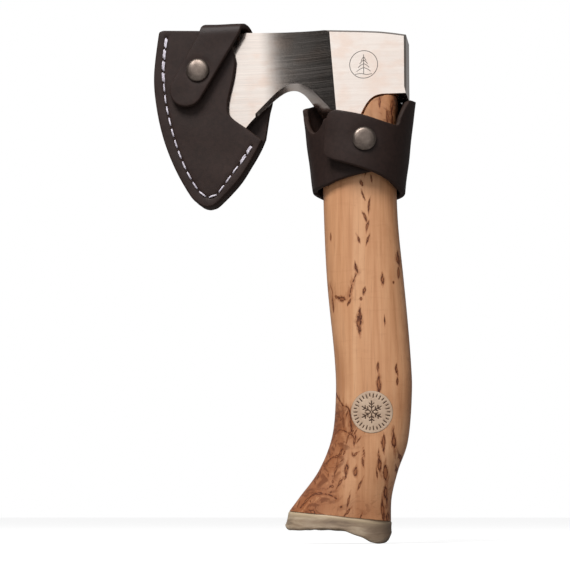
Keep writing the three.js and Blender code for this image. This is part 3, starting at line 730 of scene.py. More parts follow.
def make_world():
    """White to the camera; the object itself sees a studio with soft walls and one black flag."""
    world = bpy.data.worlds.new("studio")
    world.use_nodes = True
    bpy.context.scene.world = world
    tree = world.node_tree
    tree.nodes.clear()
    new, link = tree.nodes.new, tree.links.new
    way = new("ShaderNodeSeparateXYZ")
    link(new("ShaderNodeTexCoord").outputs["Generated"], way.inputs[0])
    turned = new("ShaderNodeMath")
    turned.operation = "ARCTAN2"
    for source, sign, socket in (("X", -1, 0), ("Y", -1, 1)):
        flip = new("ShaderNodeMath")
        flip.operation = "MULTIPLY"
        link(way.outputs[source], flip.inputs[0])
        flip.inputs[1].default_value = sign
        link(flip.outputs[0], turned.inputs[socket])
    share = new("ShaderNodeMapRange")
    link(turned.outputs[0], share.inputs["Value"])
    share.inputs["From Min"].default_value = -math.pi
    share.inputs["From Max"].default_value = math.pi
    ramp = new("ShaderNodeValToRGB")
    link(share.outputs[0], ramp.inputs["Fac"])
    stops = [((degrees + 180) / 360, (*[level / STUDIO_TOP] * 3, 1)) for degrees, level in STUDIO]
    set_marks(ramp.color_ramp.elements, stops)
    walls, white = new("ShaderNodeBackground"), new("ShaderNodeBackground")
    link(ramp.outputs["Color"], walls.inputs["Color"])
    walls.inputs["Strength"].default_value = STUDIO_TOP
    mixed, output = new("ShaderNodeMixShader"), new("ShaderNodeOutputWorld")
    link(new("ShaderNodeLightPath").outputs["Is Camera Ray"], mixed.inputs["Fac"])
    link(walls.outputs[0], mixed.inputs[1])
    link(white.outputs[0], mixed.inputs[2])
    white.inputs["Color"].default_value = (1, 1, 1, 1)
    link(mixed.outputs[0], output.inputs["Surface"])


def make_floor():
    """A pale floor that the camera sees as light as the backdrop; it throws little light up."""
    look = Look("pale_floor", Specular_IOR_Level=0.0)
    cloud = look.noise(6, 6, 6)
    seen = look.add("ShaderNodeLightPath").outputs["Is Camera Ray"]
    look.put(look.shader.inputs["Emission Color"], (1, 1, 1, 1))
    look.put(look.shader.inputs["Emission Strength"], look.math("MULTIPLY", seen, FLOOR_GLOW))
    colour = look.ramp(cloud, [(0.3, (0.34, 0.34, 0.34, 1)), (0.7, (0.36, 0.36, 0.36, 1))])
    half = FLOOR_SIZE / 2
    mesh = bpy.data.meshes.new("floor")
    corners = [(-half, -half, 0), (half, -half, 0), (half, half, 0), (-half, half, 0)]
    mesh.from_pydata(corners, [], [(0, 1, 2, 3)])
    floor = bpy.data.objects.new("floor", mesh)
    floor.location.z = cad_box[0].z - FLOOR_GAP
    mesh.materials.append(look.finish(colour, 0.9))
    bpy.context.scene.collection.objects.link(floor)


bpy.context.scene.view_settings.view_transform = "Standard"
make_camera()
make_world()
make_floor()
soft_light("key", -21, 50, 1.6, 0.7, 26)


# ---------------------------------------------------------------- axe head
CREASE_X, CREASE_Z, CREASE_TILT = 27.0, 250.0, 0.083  # where eye side and cheek meet, and its lean
HOLLOW_X = -12.5  # where the hollow grind runs out
CHEEK_HALF, CHEEK_X, CHEEK_TAPER = 3.4, -4.0, 0.038  # half thickness at CHEEK_X, and thinning per mm
HOLLOW_POWER = 2.05
BIT_CENTRE, BIT_RADIUS, BIT_SLOPE, BIT_EDGE = np.array([67.5, 252.0]), 130.0, 5.0, 0.1
HEAD_BEVEL, LOWER_BEVEL = 1.1, 0.35  # the lower edges are only broken
POLL_Z, POLL_TOP = 234.4, 266.4
EYE_X = float(centre_of("eye_wedge")[0])
EYE_HALF, EYE_SIDES = (12.8, 8.0), 96
BEARD = [(-43.2, 188.4), (-32.2, 203.8), (-20.8, 220.4), (-12.5, 229), (-2.7, 237.6), (4.5, 240.4),
         (10.3, 238.1), (15.4, 231.9), (20.5, 224.5)]
ARCH = BEARD[3:8]
CROWN = [(57, 267.9), (48, 268.9), (26, 270.2)]  # the top edge over the eye
LUG = [(25, 218), (31, 214.2), (37, 214.5), (41, 219), (42.3, 224.2)]
ARCH_GROWTH = 7.5 / (HEAD_HALF + 1)  # widening of the arch's ground edge per millimetre of thickness
HEAD_STEP = 0.5
MARK_CENTRE, MARK_RADIUS = np.array([43.6, 250.8]), 7.4
MARK_LINE = 0.34  # width of the mark's ring and trunk
MARK_PROUD, MARK_SUNK = 0.03, 0.05  # how far its lines stand off the steel, and reach into it


def cheek_half(x):
    """Half thickness of the head behind its bit, x being measured square to the crease."""
    flat = CHEEK_HALF + CHEEK_TAPER * (x - CHEEK_X)
    share = ((x - HOLLOW_X) / (CREASE_X - HOLLOW_X)).clip(0, 1)
    rise = HEAD_HALF - CHEEK_HALF - CHEEK_TAPER * (CREASE_X - CHEEK_X)
    return flat + rise * share**HOLLOW_POWER + (x - CREASE_X).clip(0) * 0.3


def head_loop():
    """The head's outline in the xz plane."""
    toe = math.pi - math.asin((TOP_Z - BIT_CENTRE[1]) / BIT_RADIUS)
    bit = arc(BIT_CENTRE, BIT_RADIUS, toe, math.pi + 0.52, 4.0)
    step_up = [(44.2, 227.9), (46.6, 231.3), (49.6, 233.5), (53.2, POLL_Z)]
    top = CROWN + [(-20, 272.4), tuple(bit[0])]
    poll = [[(POLL_X, POLL_Z)], [(POLL_X, POLL_TOP)]]
    return outline([bit, [BEARD[0]], BEARD[1:] + LUG, step_up, *poll, top], HEAD_STEP)


def prism(loop, levels, share=1.0):
    """A solid from a loop in the xz plane.

    levels holds (y, inset) from the near side to the far one, and share scales the inset at each
    point of the loop.
    """
    step = inward(loop) * share
    points = np.vstack([upright(loop + step * inset, y) for y, inset in levels])
    count = len(loop)
    cover = geometry.delaunay_2d_cdt([Vector(p) for p in loop], rim_of(loop), [], 1, 1e-7)[2]
    top = len(points) - count
    faces = [tuple(side) for side in cover] + [tuple(top + i for i in side[::-1]) for side in cover]
    for first in range(0, top, count):
        faces += band(first, first + count, count)
    return points, faces


def wedge_solid():
    """The head's thickness seen from above, run through its whole height along the crease."""
    x = np.concatenate([[-80], np.arange(HOLLOW_X, CREASE_X, 0.6), [CREASE_X, 95]])
    half = cheek_half(x)
    section = np.vstack([np.stack([x, half], 1), np.stack([x, -half], 1)[::-1]])
    rings = []
    for rise in (-75, 75):
        across = section[:, 0] - CREASE_X
        rings.append(np.stack([
            CREASE_X + across * math.cos(CREASE_TILT) - rise * math.sin(CREASE_TILT),
            section[:, 1],
            CREASE_Z + across * math.sin(CREASE_TILT) + rise * math.cos(CREASE_TILT),
        ], 1))
    count = len(section)
    faces = [tuple(range(count)), tuple(range(2 * count - 1, count - 1, -1))]
    return np.vstack(rings), faces + band(0, count, count)


def circles(profile, sides):
    """A ring of points about y for each (radius, y) of a profile."""
    angle = full_turn(sides)
    round_y = np.stack([np.cos(angle), np.sin(angle)], 1)
    return [upright(r * round_y, y) for r, y in profile]


def lathe(profile, sides, place):
    """A solid of revolution about y: profile holds (radius, y). place is a matrix of the drawing."""
    points, faces = loft(circles(profile, sides))
    return moved(points, place), faces


def arch_solid():
    """What the ground edge of the arch under the beard takes away; it widens to both faces."""
    under_beard = ARCH[:0:-1] + [(-14, 227.4)]
    loop = outline([[(-14, 205), (22, 205)], [(21, 223.8)], under_beard], HEAD_STEP)
    far = HEAD_HALF + 1
    return prism(loop, [(-far, -ARCH_GROWTH * far), (-0.2, 0), (0.2, 0), (far, -ARCH_GROWTH * far)])


def oval_column(bottom, top, grow=0.0):
    """The oval of the eye from bottom to top, a little wider at the top."""
    angle = full_turn(EYE_SIDES)
    rings = []
    for z, wider in ((bottom, 0.0), (top, 1.0)):
        x = EYE_X + (EYE_HALF[0] + grow + 0.5 * wider) * np.cos(angle)
        y = (EYE_HALF[1] + grow + 0.4 * wider) * np.sin(angle)
        rings.append(np.stack([x, y, np.full(EYE_SIDES, z)], 1))
    return loft(rings)


def bit_solid():
    """A disc with a ground edge, whose front is the bit."""
    reach = BIT_RADIUS / BIT_SLOPE
    side = [(BIT_RADIUS * out, -reach + (reach - BIT_EDGE) * out) for out in (0.01, 0.5, 1)]
    profile = side + [(radius, -y) for radius, y in side[::-1]]
    return lathe(profile, 400, Matrix.Translation((BIT_CENTRE[0], 0, BIT_CENTRE[1])))


def make_head():
    """The steel head: its outline, cut to its thickness, its bit, its ground arch and its eye."""
    front_y, loop = -HEAD_HALF, head_loop()
    share = np.interp(loop[:, 1], (POLL_Z + 0.5, POLL_Z + 4), (LOWER_BEVEL / HEAD_BEVEL, 1))[:, None]
    levels = [(front_y, HEAD_BEVEL), (front_y + HEAD_BEVEL, 0)]
    levels += [(-y, inset) for y, inset in levels[::-1]]
    head = mesh_of("head", *prism(loop, levels, share))
    combined(head, mesh_of("cut", *wedge_solid()), "INTERSECT")
    combined(head, mesh_of("cut", *bit_solid()), "INTERSECT")
    combined(head, mesh_of("cut", *arch_solid()), "DIFFERENCE")
    combined(head, mesh_of("cut", *oval_column(200, 280)), "DIFFERENCE")
    tidied(head)
    head.data.shade_smooth()
    head.data.set_sharp_from_angle(angle=math.radians(7))
    for face in head.data.polygons:
        if abs(face.normal.y) > 0.9999:
            face.use_smooth = False
    dress(head, STEEL, "axe", ["axe_head"])


def ribbon(line, width, closed=False):
    """A thin raised line along points of the xz plane, on the near side of the head."""
    line = np.asarray(line, float)
    if closed:
        run = np.roll(line, -1, 0) - np.roll(line, 1, 0)
    else:
        run = np.gradient(line, axis=0)
    run = unit(run)
    side = np.stack([-run[:, 1], run[:, 0]], 1) * width / 2
    rows = []
    corners = ((side, MARK_SUNK), (side, -MARK_PROUD), (-side, -MARK_PROUD), (-side, MARK_SUNK))
    for shift, lift in corners:
        rows.append(upright(line + shift, -HEAD_HALF + lift))
    count = len(line)
    points = np.vstack(rows)
    faces = []
    for i in range(count if closed else count - 1):
        k = (i + 1) % count
        for a, b in ((0, 1), (1, 2), (2, 3), (3, 0)):
            faces.append((a * count + i, a * count + k, b * count + k, b * count + i))
    if not closed:
        faces.append((0, count, 2 * count, 3 * count))
        faces.append((4 * count - 1, 3 * count - 1, 2 * count - 1, count - 1))
    return points, faces


def make_mark():
    """A small spruce in a ring, etched on the near side of the eye."""
    ring = arc(MARK_CENTRE, MARK_RADIUS, 0, 2 * math.pi, 0.4)[:-1]
    parts = [ribbon(ring, MARK_LINE, closed=True)]
    trunk = np.array([(0, -5.2), (0, 5.4)])
    parts.append(ribbon(MARK_CENTRE + along(trunk, 0.5), MARK_LINE))
    for level, reach in ((3.9, 1.3), (2.2, 2.1), (0.3, 2.9), (-1.8, 3.7)):
        for side in (-1, 1):
            bend, end = (side * reach * 0.55, level - 0.75), (side * reach, level - 2.0)
            branch = spline([(side * 0.17, level), bend, end])
            parts.append(ribbon(MARK_CENTRE + along(branch, 0.4), 0.32))
    ground = spline([(-4.6, -5.3), (-1.5, -4.9), (1.6, -5.5), (4.4, -5.1)])
    parts.append(ribbon(MARK_CENTRE + along(ground, 0.5), 0.3))
    dress(mesh_of("spruce_mark", *joined(parts), crease=40), OXIDE, "axe")


make_head()
make_mark()
for node, look in (("cross_wedge", NICKEL), ("eye_wedge", DARK_WOOD), ("butt_pin_front", DARK_WOOD),
                   ("butt_pin_back", DARK_WOOD)):
    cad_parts[node].data.materials.clear()
    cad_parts[node].data.materials.append(look)


# ---------------------------------------------------------------- handle
SHOULDER_Z = 233.9
BEND_Z = 195.0  # above this the rings follow the floor of the lug's pocket
LID_SIZE = 22  # millimetres that a lid's inset is a share of
LID_EDGE = ((0.3, 0.35), (0.8, 0.05))  # inset and drop of the rings that round a lid's edge
GRIP_POWER, NECK_POWER = 2.35, 5.0  # squareness of the oval section along the grip and inside the head
NECK_T = (0.93, 0.975)  # where along the grip it turns squarer
FRONT_EDGE = np.array([(2.6, 16.8), (8, 24), (18.2, 38), (25, 55), (27, 75), (26.5, 95), (22.7, 138),
                       (20.7, 181), (20.5, SHOULDER_Z)])
BACK_EDGE = np.array([(55.4, 11.6), (55.8, 24), (59.3, 38), (64.6, 53), (66.9, 76), (66.5, 95),
                      (62.9, 138), (59.7, 181), (60.3, SHOULDER_Z)])
GRIP_HALF = np.array([16, 15.4, 14.6, 14.4, 15, 15, 14.2, 13.6, 13.2])
POCKET_FLOOR = [(19.6, 222.6), (24, 216.2), (31, 213), (37.4, 213.4), (42, 218.5), (43.3, 224),
                (45.2, 227.4), (47.3, 230.4), (49.8, 232.3), (53.5, 233.4), (56, SHOULDER_Z),
                (64, SHOULDER_Z)]
GRIP_SIDES, GRIP_RINGS = 288, 520
TENON_TOP, TENON_PROUD = 271.5, 0.2  # the tenon is cut off a hair over the head's top edge
MEDAL = centre_of("medallion")
MEDAL_RADIUS = (span("medallion")[1][0] - span("medallion")[0][0]) / 2
MEDAL_PROUD, TICKS = 0.28, 30

# Brown flecks on the near side: x, z, half length, half width, lean in degrees, bow.
FLECKS = [
    (53, 136, 3.7, 0.8, 2, 0.1), (41, 114, 6.4, 1.5, 0, 0.3), (43.5, 130, 2.3, 0.8, -8, 0.4),
    (41.7, 126, 0.9, 0.8, 0, 0), (31.4, 126.6, 2.8, 1.3, 70, 0.3), (35.4, 124.2, 2.0, 0.7, -25, 0),
    (28.8, 127.6, 1.5, 0.7, 60, 0), (39.4, 142.4, 2.9, 0.9, 14, 0.3), (43, 181, 3.2, 0.5, 20, 0.5),
    (46.2, 175, 3.8, 0.6, -6, 0.6), (43.8, 169.5, 3.0, 0.7, 24, -0.7), (45.2, 164, 3.0, 0.6, -12, 0.5),
    (45.4, 157, 3.0, 0.6, -18, 0.4), (40.6, 157.5, 2.4, 0.6, 18, -0.5), (25.6, 160, 2.2, 0.4, 0, 0),
    (60.6, 147.4, 3.4, 0.9, 8, 0.5), (60.8, 140, 3.0, 0.5, 0, 0), (58.5, 134.8, 1.0, 0.5, 0, 0),
    (54, 114, 2.7, 0.4, 2, 0), (50.5, 90, 2.6, 0.7, 0, 0.3), (51, 81.2, 5.4, 1.1, 0, 0.2),
    (60, 89, 2.8, 0.8, 6, 0.6), (60.2, 83.2, 2.2, 0.6, 0, 0), (65.6, 118.4, 2.0, 0.6, 0, 0),
    (26.6, 123, 3.4, 0.4, 4, 0), (38.2, 52.2, 3.1, 0.6, -8, 0.5), (42.4, 42, 3.2, 0.5, 8, 0),
    (34, 38.4, 3.9, 1.1, -6, 0.5), (38.6, 37, 2.8, 1.1, -4, 0.3), (28.4, 38, 2.5, 0.7, -14, 0.2),
    (53, 51, 4.4, 1.0, 0, 0.2), (58.2, 52.7, 6.3, 1.1, 2, 0.1), (50.8, 41, 5.6, 1.0, 4, 0.4),
    (53.8, 36, 5.6, 1.2, 2, 0.3), (49.4, 36, 3.1, 0.4, 4, 0), (61, 43.4, 4.4, 0.8, 14, 0),
    (59.2, 37, 3.4, 0.7, 10, 0), (40.8, 30, 4.1, 0.5, -24, 0), (30.6, 31, 3.4, 0.6, -34, 0.2),
    (26.8, 31.6, 0.9, 0.6, 0, 0), (26.6, 29.2, 0.9, 0.7, 0, 0), (53.6, 26, 5.0, 0.9, 2, 0.2),
    (52, 17.5, 5.6, 0.9, 4, 0.3), (54.2, 13.5, 2.6, 0.7, 0, 0), (16, 16.4, 2.0, 1.3, 60, 0),
    (31, 18.8, 0.9, 0.8, 0, 0), (34, 15.6, 3.4, 0.6, -40, 0), (34.9, 21.5, 4.1, 0.5, -14, 0),
    (41.4, 14.4, 2.2, 0.5, -20, 0), (43, 46, 3.1, 0.4, 6, 0), (52, 229.8, 2.6, 0.6, 0, 0.2),
    (43.8, 227, 2.4, 0.5, -20, 0), (58.2, 227.6, 4.4, 0.8, -3, 0.3), (55.8, 222.4, 4.0, 0.7, 2, -0.3),
    (58.4, 219.6, 3.4, 0.5, 0, 0.2),
    (24.2, 190.6, 3.6, 0.5, 2, 0), (44.8, 193.8, 2.8, 0.4, -12, 0), (42.4, 187, 2.2, 0.7, 22, 0.5),
    (22.8, 190, 1.8, 0.4, 0, 0), (47.5, 189, 2.4, 0.4, 10, 0.4),
]
# Brown cracks on the near side: points along each, and its half width.
VEINS = [
    ([(27.6, 77.5), (29.2, 74.9), (31.7, 71.2), (34.8, 69.4), (36.1, 65), (36.5, 56)], 0.8),
    ([(9.5, 18.4), (13, 22.4), (17.4, 25.5), (24.2, 25.2), (29.2, 22.8)], 0.9),
    ([(31.7, 48.4), (29.8, 45.2), (25.5, 43.8), (21.5, 40.2)], 1.0),
    ([(27, 56), (30.5, 58.4), (36.6, 55.6), (38, 53.4)], 0.5),
    ([(39.6, 139.5), (38, 136), (36.5, 131.5), (36, 127)], 0.3),
    ([(25.2, 134), (26.4, 130), (26.2, 126)], 0.3),
]
VEIN_SHADE = 4.5  # reach of the brown shade beside a crack
BURL_STROKES, RANDOM_FLECKS = 34, 120
BURL_SEED, FLECK_SEED = 23, 11


def grip_ring(t):
    """The front and back corners and the half depth of the grip's ring at t, from 0 to 1."""
    place = t * (len(FRONT_EDGE) - 1)
    i = min(int(place), len(FRONT_EDGE) - 2)
    found = []
    for table in (FRONT_EDGE, BACK_EDGE, GRIP_HALF[:, None]):
        rows = np.vstack([table[:1], table, table[-1:]])
        found.append(between(*rows[i:i + 4], place - i))
    return found[0], found[1], found[2][0]


def grip_section(t, angle):
    """The grip's ring at t: a squared oval from its front corner to its back one."""
    front, back, half = grip_ring(t)
    c, s = np.cos(angle), np.sin(angle)
    share = min(max((t - NECK_T[0]) / (NECK_T[1] - NECK_T[0]), 0), 1)
    power = 2 / lerp((GRIP_POWER, NECK_POWER), share)
    across = 0.5 + 0.5 * np.sign(c) * np.abs(c) ** power
    y = half * np.sign(s) * np.abs(s) ** power
    return upright(lerp((front, back), across[:, None]), y)


def near_side_y(flat):
    """The y of the grip's near side at points of the xz plane."""
    rings = [grip_ring(t) for t in np.linspace(0, 1, 300)]
    table = np.array([((a[1] + b[1]) / 2, a[0], b[0], half) for a, b, half in rings])
    front, back, half = (np.interp(flat[:, 1], table[:, 0], column) for column in table[:, 1:].T)
    across = np.abs((2 * flat[:, 0] - front - back) / (back - front)).clip(0, 0.999)
    return -half * (1 - across**GRIP_POWER) ** (1 / GRIP_POWER)


def pocket_height(x):
    """Height of the floor of the pocket under the head's lug."""
    floor = spline(POCKET_FLOOR, 8)
    return np.interp(x, floor[:, 0], floor[:, 1])


def spindle(round_by, up, half_length, half_width, lean, bow):
    """1 at the middle of a pointed fleck, 0 at its edge and below 0 outside it."""
    tilt = math.radians(lean)
    v = (up * math.cos(tilt) - round_by * math.sin(tilt)) / half_length
    u = (round_by * math.cos(tilt) + up * math.sin(tilt)) / half_width
    return 1 - np.abs(u - bow * (v * v - 0.4)) - np.abs(v) ** 1.5


def unrolled_grip(rings):
    """Length round the grip of each point, from the middle of the near side."""
    start = GRIP_SIDES * 3 // 4
    steps = np.linalg.norm(np.roll(rings, -1, 1) - rings, axis=2)
    lengths = np.zeros(rings.shape[:2])
    for way in (1, -1):
        run = np.zeros(len(rings))
        for k in range(1, GRIP_SIDES // 2 + 1):
            j = (start + way * k) % GRIP_SIDES
            run = run + steps[:, (j - 1) % GRIP_SIDES if way > 0 else j]
            lengths[:, j] = way * run
    return lengths


def burl_strokes():
    """Short lines scattered over the burl: x, z, half length, half width, lean, bow."""
    draw = random.Random(BURL_SEED)
    for _ in range(BURL_STROKES):
        z = draw.uniform(19, 68)
        x = np.interp(z, FRONT_EDGE[:, 1], FRONT_EDGE[:, 0]) + draw.uniform(1.5, 19)
        size = draw.uniform(0.9, 3.2)
        yield x, z, size, draw.uniform(0.26, 0.52), draw.uniform(-55, 15), draw.uniform(-0.8, 0.8)


def random_flecks():
    """Flecks on the sides and the back: the length round the grip, then as the strokes."""
    draw = random.Random(FLECK_SEED)
    for _ in range(RANDOM_FLECKS):
        z = 14 + 205 * draw.random() ** 1.5
        place = draw.choice((-1, 1)) * draw.uniform(30, 54)
        size = draw.uniform(1.2, 5.5)
        width = size * draw.uniform(0.14, 0.26)
        yield place, z, size, width, draw.uniform(-12, 12), draw.uniform(-0.5, 0.5)


def fleck_values(rings):
    """How deep each point of the grip lies in a fleck: drawn ones in the near view, others all round."""
    x, up = rings[:, :, 0], rings[:, :, 2]
    value = np.full(up.shape, -1.0)
    near = rings[:, :, 1] < 0

    def press(across, flecks, where, spread=1.0, grow=1.0):
        """Raises the value where each fleck lies."""
        for place, z, length, width, lean, bow in flecks:
            close = where & (np.abs(up - z) < spread * length + 3)
            made = spindle(across[close] - place, up[close] - z, grow * length, width, lean, bow)
            value[close] = np.maximum(value[close], made)

    press(x, FLECKS, near, spread=1.3, grow=1.15)
    press(x, burl_strokes(), near)
    for line, width in VEINS:
        path = along(spline(line), 0.5)
        close = near & (up > path[:, 1].min() - 3) & (up < path[:, 1].max() + 3)
        gap = distance(np.stack([x[close], up[close]], 1), path, closed=False)
        made = np.maximum(0.55 - gap / width, -0.18 - gap / VEIN_SHADE)
        value[close] = np.maximum(value[close], made)
    press(unrolled_grip(rings), random_flecks(), True)
    return value


def grip_rings():
    """The grip's rings, slightly uneven from carving, with the top ones fitted to the lug's pocket."""
    angle = full_turn(GRIP_SIDES)
    rings = np.array([grip_section(t, angle) for t in np.linspace(0, 1, GRIP_RINGS)])
    stretch = (1, 1, 3)  # the waves are longest up the handle
    carve = 0.16 * ripple(rings.reshape(-1, 3) / stretch, 22, seed=5).reshape(rings.shape[:2])
    middle = rings.mean(1, keepdims=True)
    out = rings - middle
    out[:, :, 2] = 0
    rings += out / np.linalg.norm(out, axis=2)[:, :, None] * carve[:, :, None]
    share = ((rings[:, :, 2] - BEND_Z) / (SHOULDER_Z - BEND_Z)).clip(0, 1)
    rings[:, :, 2] += share * (pocket_height(rings[:, :, 0]) - SHOULDER_Z)
    return rings


def lids(ring, height, steps):
    """Rings that close an end of the grip: its rounded edge, then along height() to the middle."""
    middle = ring.mean(0)
    rows = []
    for inset, drop in LID_EDGE:
        flat = middle + (ring - middle) * (1 - inset / LID_SIZE)
        flat[:, 2] = height(flat) - drop
        rows.append(flat)
    for share in np.linspace(1 - LID_EDGE[-1][0] / LID_SIZE, 0.02, steps)[1:]:
        flat = middle + (ring - middle) * share
        flat[:, 2] = height(flat)
        rows.append(flat)
    return rows


def tenon_solid():
    """The tenon in the eye, cut off along the head's top edge."""
    points, faces = oval_column(222, TENON_TOP, grow=-0.3)
    above = points[:, 2] > TENON_TOP - 1
    points[above, 2] = np.interp(points[above, 0], *zip(*CROWN[::-1])) + TENON_PROUD
    return points, faces


def redness_and_shade(points):
    """How reddish and dark the wood is: in the burl near the butt and towards the butt all round, with
    painted shade beside both edges and under the poll.
    """
    x, z = points[:, 0], points[:, 2]
    front = np.interp(z, FRONT_EDGE[:, 1], FRONT_EDGE[:, 0])
    back = np.interp(z, BACK_EDGE[:, 1], BACK_EDGE[:, 0])
    burl = (1 - (x - front) / 24).clip(0, 1) * ((74 - z) / 8).clip(0, 1)
    # Redder and darker towards the butt, all round the grip.
    burl = burl + 0.34 * ((36 - z) / 16).clip(0, 1)
    # Painted shade: darker where the grip turns away beside both edges, and under the head's poll.
    beside = (1 - np.minimum(x - front, back - x) / 5).clip(0, 1)
    under_poll = ((x - 40) / 12).clip(0, 1) * ((z - 213) / 8).clip(0, 1)
    red = np.where(points[:, 1] < 6, burl.clip(0, 1), 0.25 * burl)
    return (red + 0.28 * beside + 0.45 * under_poll).clip(0, 1)


def make_handle():
    """The birch handle with its tenon, its flecks and its burl."""
    rings = grip_rings()
    value = fleck_values(rings)
    bottom = rings[0].copy()
    fall = -np.ptp(bottom[:, 2]) / np.ptp(bottom[:, 0])

    def seam(flat):
        return bottom[:, 2].mean() + (flat[:, 0] - bottom[:, 0].mean()) * fall

    def pocket(flat):
        return pocket_height(flat[:, 0])

    under = lids(rings[0], seam, steps=6)
    for row in under[:2]:
        row[:, 2] = seam(row)
    stack = np.array(under[::-1] + list(rings) + lids(rings[-1], pocket, steps=24))
    points, faces = joined([loft(stack), tenon_solid()])
    handle = mesh_of("birch_handle", points, faces, crease=40)
    flecks = np.full(len(points), -1.0)
    first = len(under) * GRIP_SIDES
    flecks[first:first + value.size] = value.ravel()
    tag(handle, "fleck", flecks)
    tag(handle, "red", redness_and_shade(points))
    dress(handle, BIRCH, "axe", ["handle"])


def compass(turn):
    """The unit step towards an angle in radians."""
    return np.array([math.cos(turn), math.sin(turn)])


def inlay_lines():
    """The ornament of the disc: a ring of ticks round a six-armed frost star."""
    lines = []
    for k in range(TICKS):
        way = compass(2 * math.pi * k / TICKS)
        lines.append(np.array([way * (7.5 if k % 2 else 8.1), way * 9.3]))
    for k in range(6):
        turn = math.pi / 3 * k + math.pi / 2
        way = compass(turn)
        lines.append(np.array([way * 0.6, way * 5.6]))
        for base in (2.1, 3.6):
            for side in (-1, 1):
                branch = compass(turn + side * 0.9) * 1.5
                lines.append(np.array([way * base, way * base + branch]))
    return lines


def make_inlay():
    """The round antler inlay, a hair proud of the wood, with its lines burnt a little way in."""
    loop = arc((0, 0), MEDAL_RADIUS, 0, 2 * math.pi, 0.3)[:-1]
    lines = inlay_lines()

    def burnt(flat):
        return np.max([1 - distance(flat, line, closed=False) / 0.62 for line in lines], 0)

    def place(flat, depth):
        on = flat + MEDAL
        return upright(on, near_side_y(on) - MEDAL_PROUD + depth)

    def relief(flat):
        return 0.12 * (burnt(flat) * 2.2).clip(0, 1)

    points, faces, rim = slab(loop, place, 1.3, spacing=0.24, edge=0.3, relief=relief, rows=2)
    piece = mesh_of("antler_inlay", points, faces, crease=50)
    tag(piece, "rim", rim)
    tag(piece, "burnt", burnt(points[:, [0, 2]] - MEDAL))
    dress(piece, INLAY, "axe", ["medallion"])


# ---------------------------------------------------------------- butt cap
CAP_BOTTOM = [(-3, 10.5), (1.4, 7.6), (5, 6.9), (18, 7.2), (31, 6.7), (39.3, 4.1), (46, 0.9), (50.4, 0.1),
              (53.4, 1.4), (55.4, 4.4), (58, 8.5)]
CAP_POWER = 2.12  # squareness of its plan
CAP_RINGS = 26  # the first rings, which make its worn bottom
CAP_FLARE = 1.1  # how far its front end leans out downwards, each way from its middle
CAP_GAP = 0.04  # between the cap and the wood


def make_cap():
    """The antler butt cap: rings of a squared oval from its worn bottom up to the seam."""
    low, high = span("butt_cap")
    middle_x = (low[0] + high[0]) / 2
    half = np.array([(high[0] - low[0]) / 2, (high[1] - low[1]) / 2])
    floor = spline(CAP_BOTTOM)
    slope = (BACK_EDGE[0][1] - FRONT_EDGE[0][1]) / (BACK_EDGE[0][0] - FRONT_EDGE[0][0])
    angle = full_turn(180)
    power = 2 / CAP_POWER
    c, s = np.cos(angle), np.sin(angle)
    plan = np.stack([np.sign(c) * np.abs(c) ** power, np.sign(s) * np.abs(s) ** power], 1)
    rings, top_highlight = [], []

    def ring(share, size, worn):
        """A ring at a share of the height, its plan scaled by size; worn is how much painted highlight of the
        top edge it carries.
        """
        flat = plan * half * size
        x = middle_x + flat[:, 0]
        x = x + CAP_FLARE * (2 * share - 1) * (-plan[:, 0]).clip(0) * size
        seam = FRONT_EDGE[0][1] - CAP_GAP + slope * (x - FRONT_EDGE[0][0])
        z = lerp((np.interp(x, floor[:, 0], floor[:, 1]), seam), share)
        rings.append(np.stack([x, flat[:, 1], z], 1))
        top_highlight.append(worn)

    for size in np.linspace(0.04, 0.93, 22):
        ring(0.0, size, 0.0)
    for share, size in ((0.012, 0.955), (0.04, 0.975), (0.09, 0.988), (0.16, 0.994)):
        ring(share, size, 0.0)
    # The upper rings and the top lid carry the painted highlight of the cap's top edge.
    for share in np.linspace(0.24, 0.80, 14):
        ring(share, 0.998 - 0.012 * math.sin(math.pi * share), ((share - 0.62) / 0.2).clip(0, 1) * 0.5)
    for share, size in ((0.87, 0.992), (0.93, 0.989), (0.965, 0.984), (0.99, 0.976), (1.0, 0.966)):
        ring(share, size, 1.0)
    for size in np.linspace(0.9, 0.05, 8):
        ring(1.0, size, 1.0)
    stack = np.array(rings)
    worn = ripple(stack.reshape(-1, 3), 9, seed=3).reshape(stack.shape[:2])
    lower = (np.arange(len(stack)) < CAP_RINGS)[:, None]
    stack[:, :, 2] += np.where(lower, 0.22 * worn, 0) * (stack[:, :, 2] > 1.0)
    points, faces = loft(stack)
    points[:, 1] += (low[1] + high[1]) / 2 - MIDDLE_Y
    points[:, 2] = points[:, 2].clip(low[2])
    piece = mesh_of("antler_butt_cap", points, faces, crease=60)
    # Painted highlight along the top edge, weaker over the back end, which gets painted shade.
    worn = np.concatenate([np.repeat(top_highlight, len(plan)), [0, 1]])
    back = ((points[:, 0] - middle_x - 12) / 14).clip(0, 1)
    tag(piece, "top_highlight", worn * (1 - 0.7 * back))
    tag(piece, "back_shade", 0.85 * back**1.5)
    dress(piece, ANTLER, "axe", ["butt_cap"])


make_handle()
make_inlay()
make_cap()


# ---------------------------------------------------------------- snaps and rivets
SHANK = 1.6  # radius of a post inside the leather
TIP = 0.3  # radius of the ring from which a lathed piece closes to its middle
FASTENER_SIDES = 72
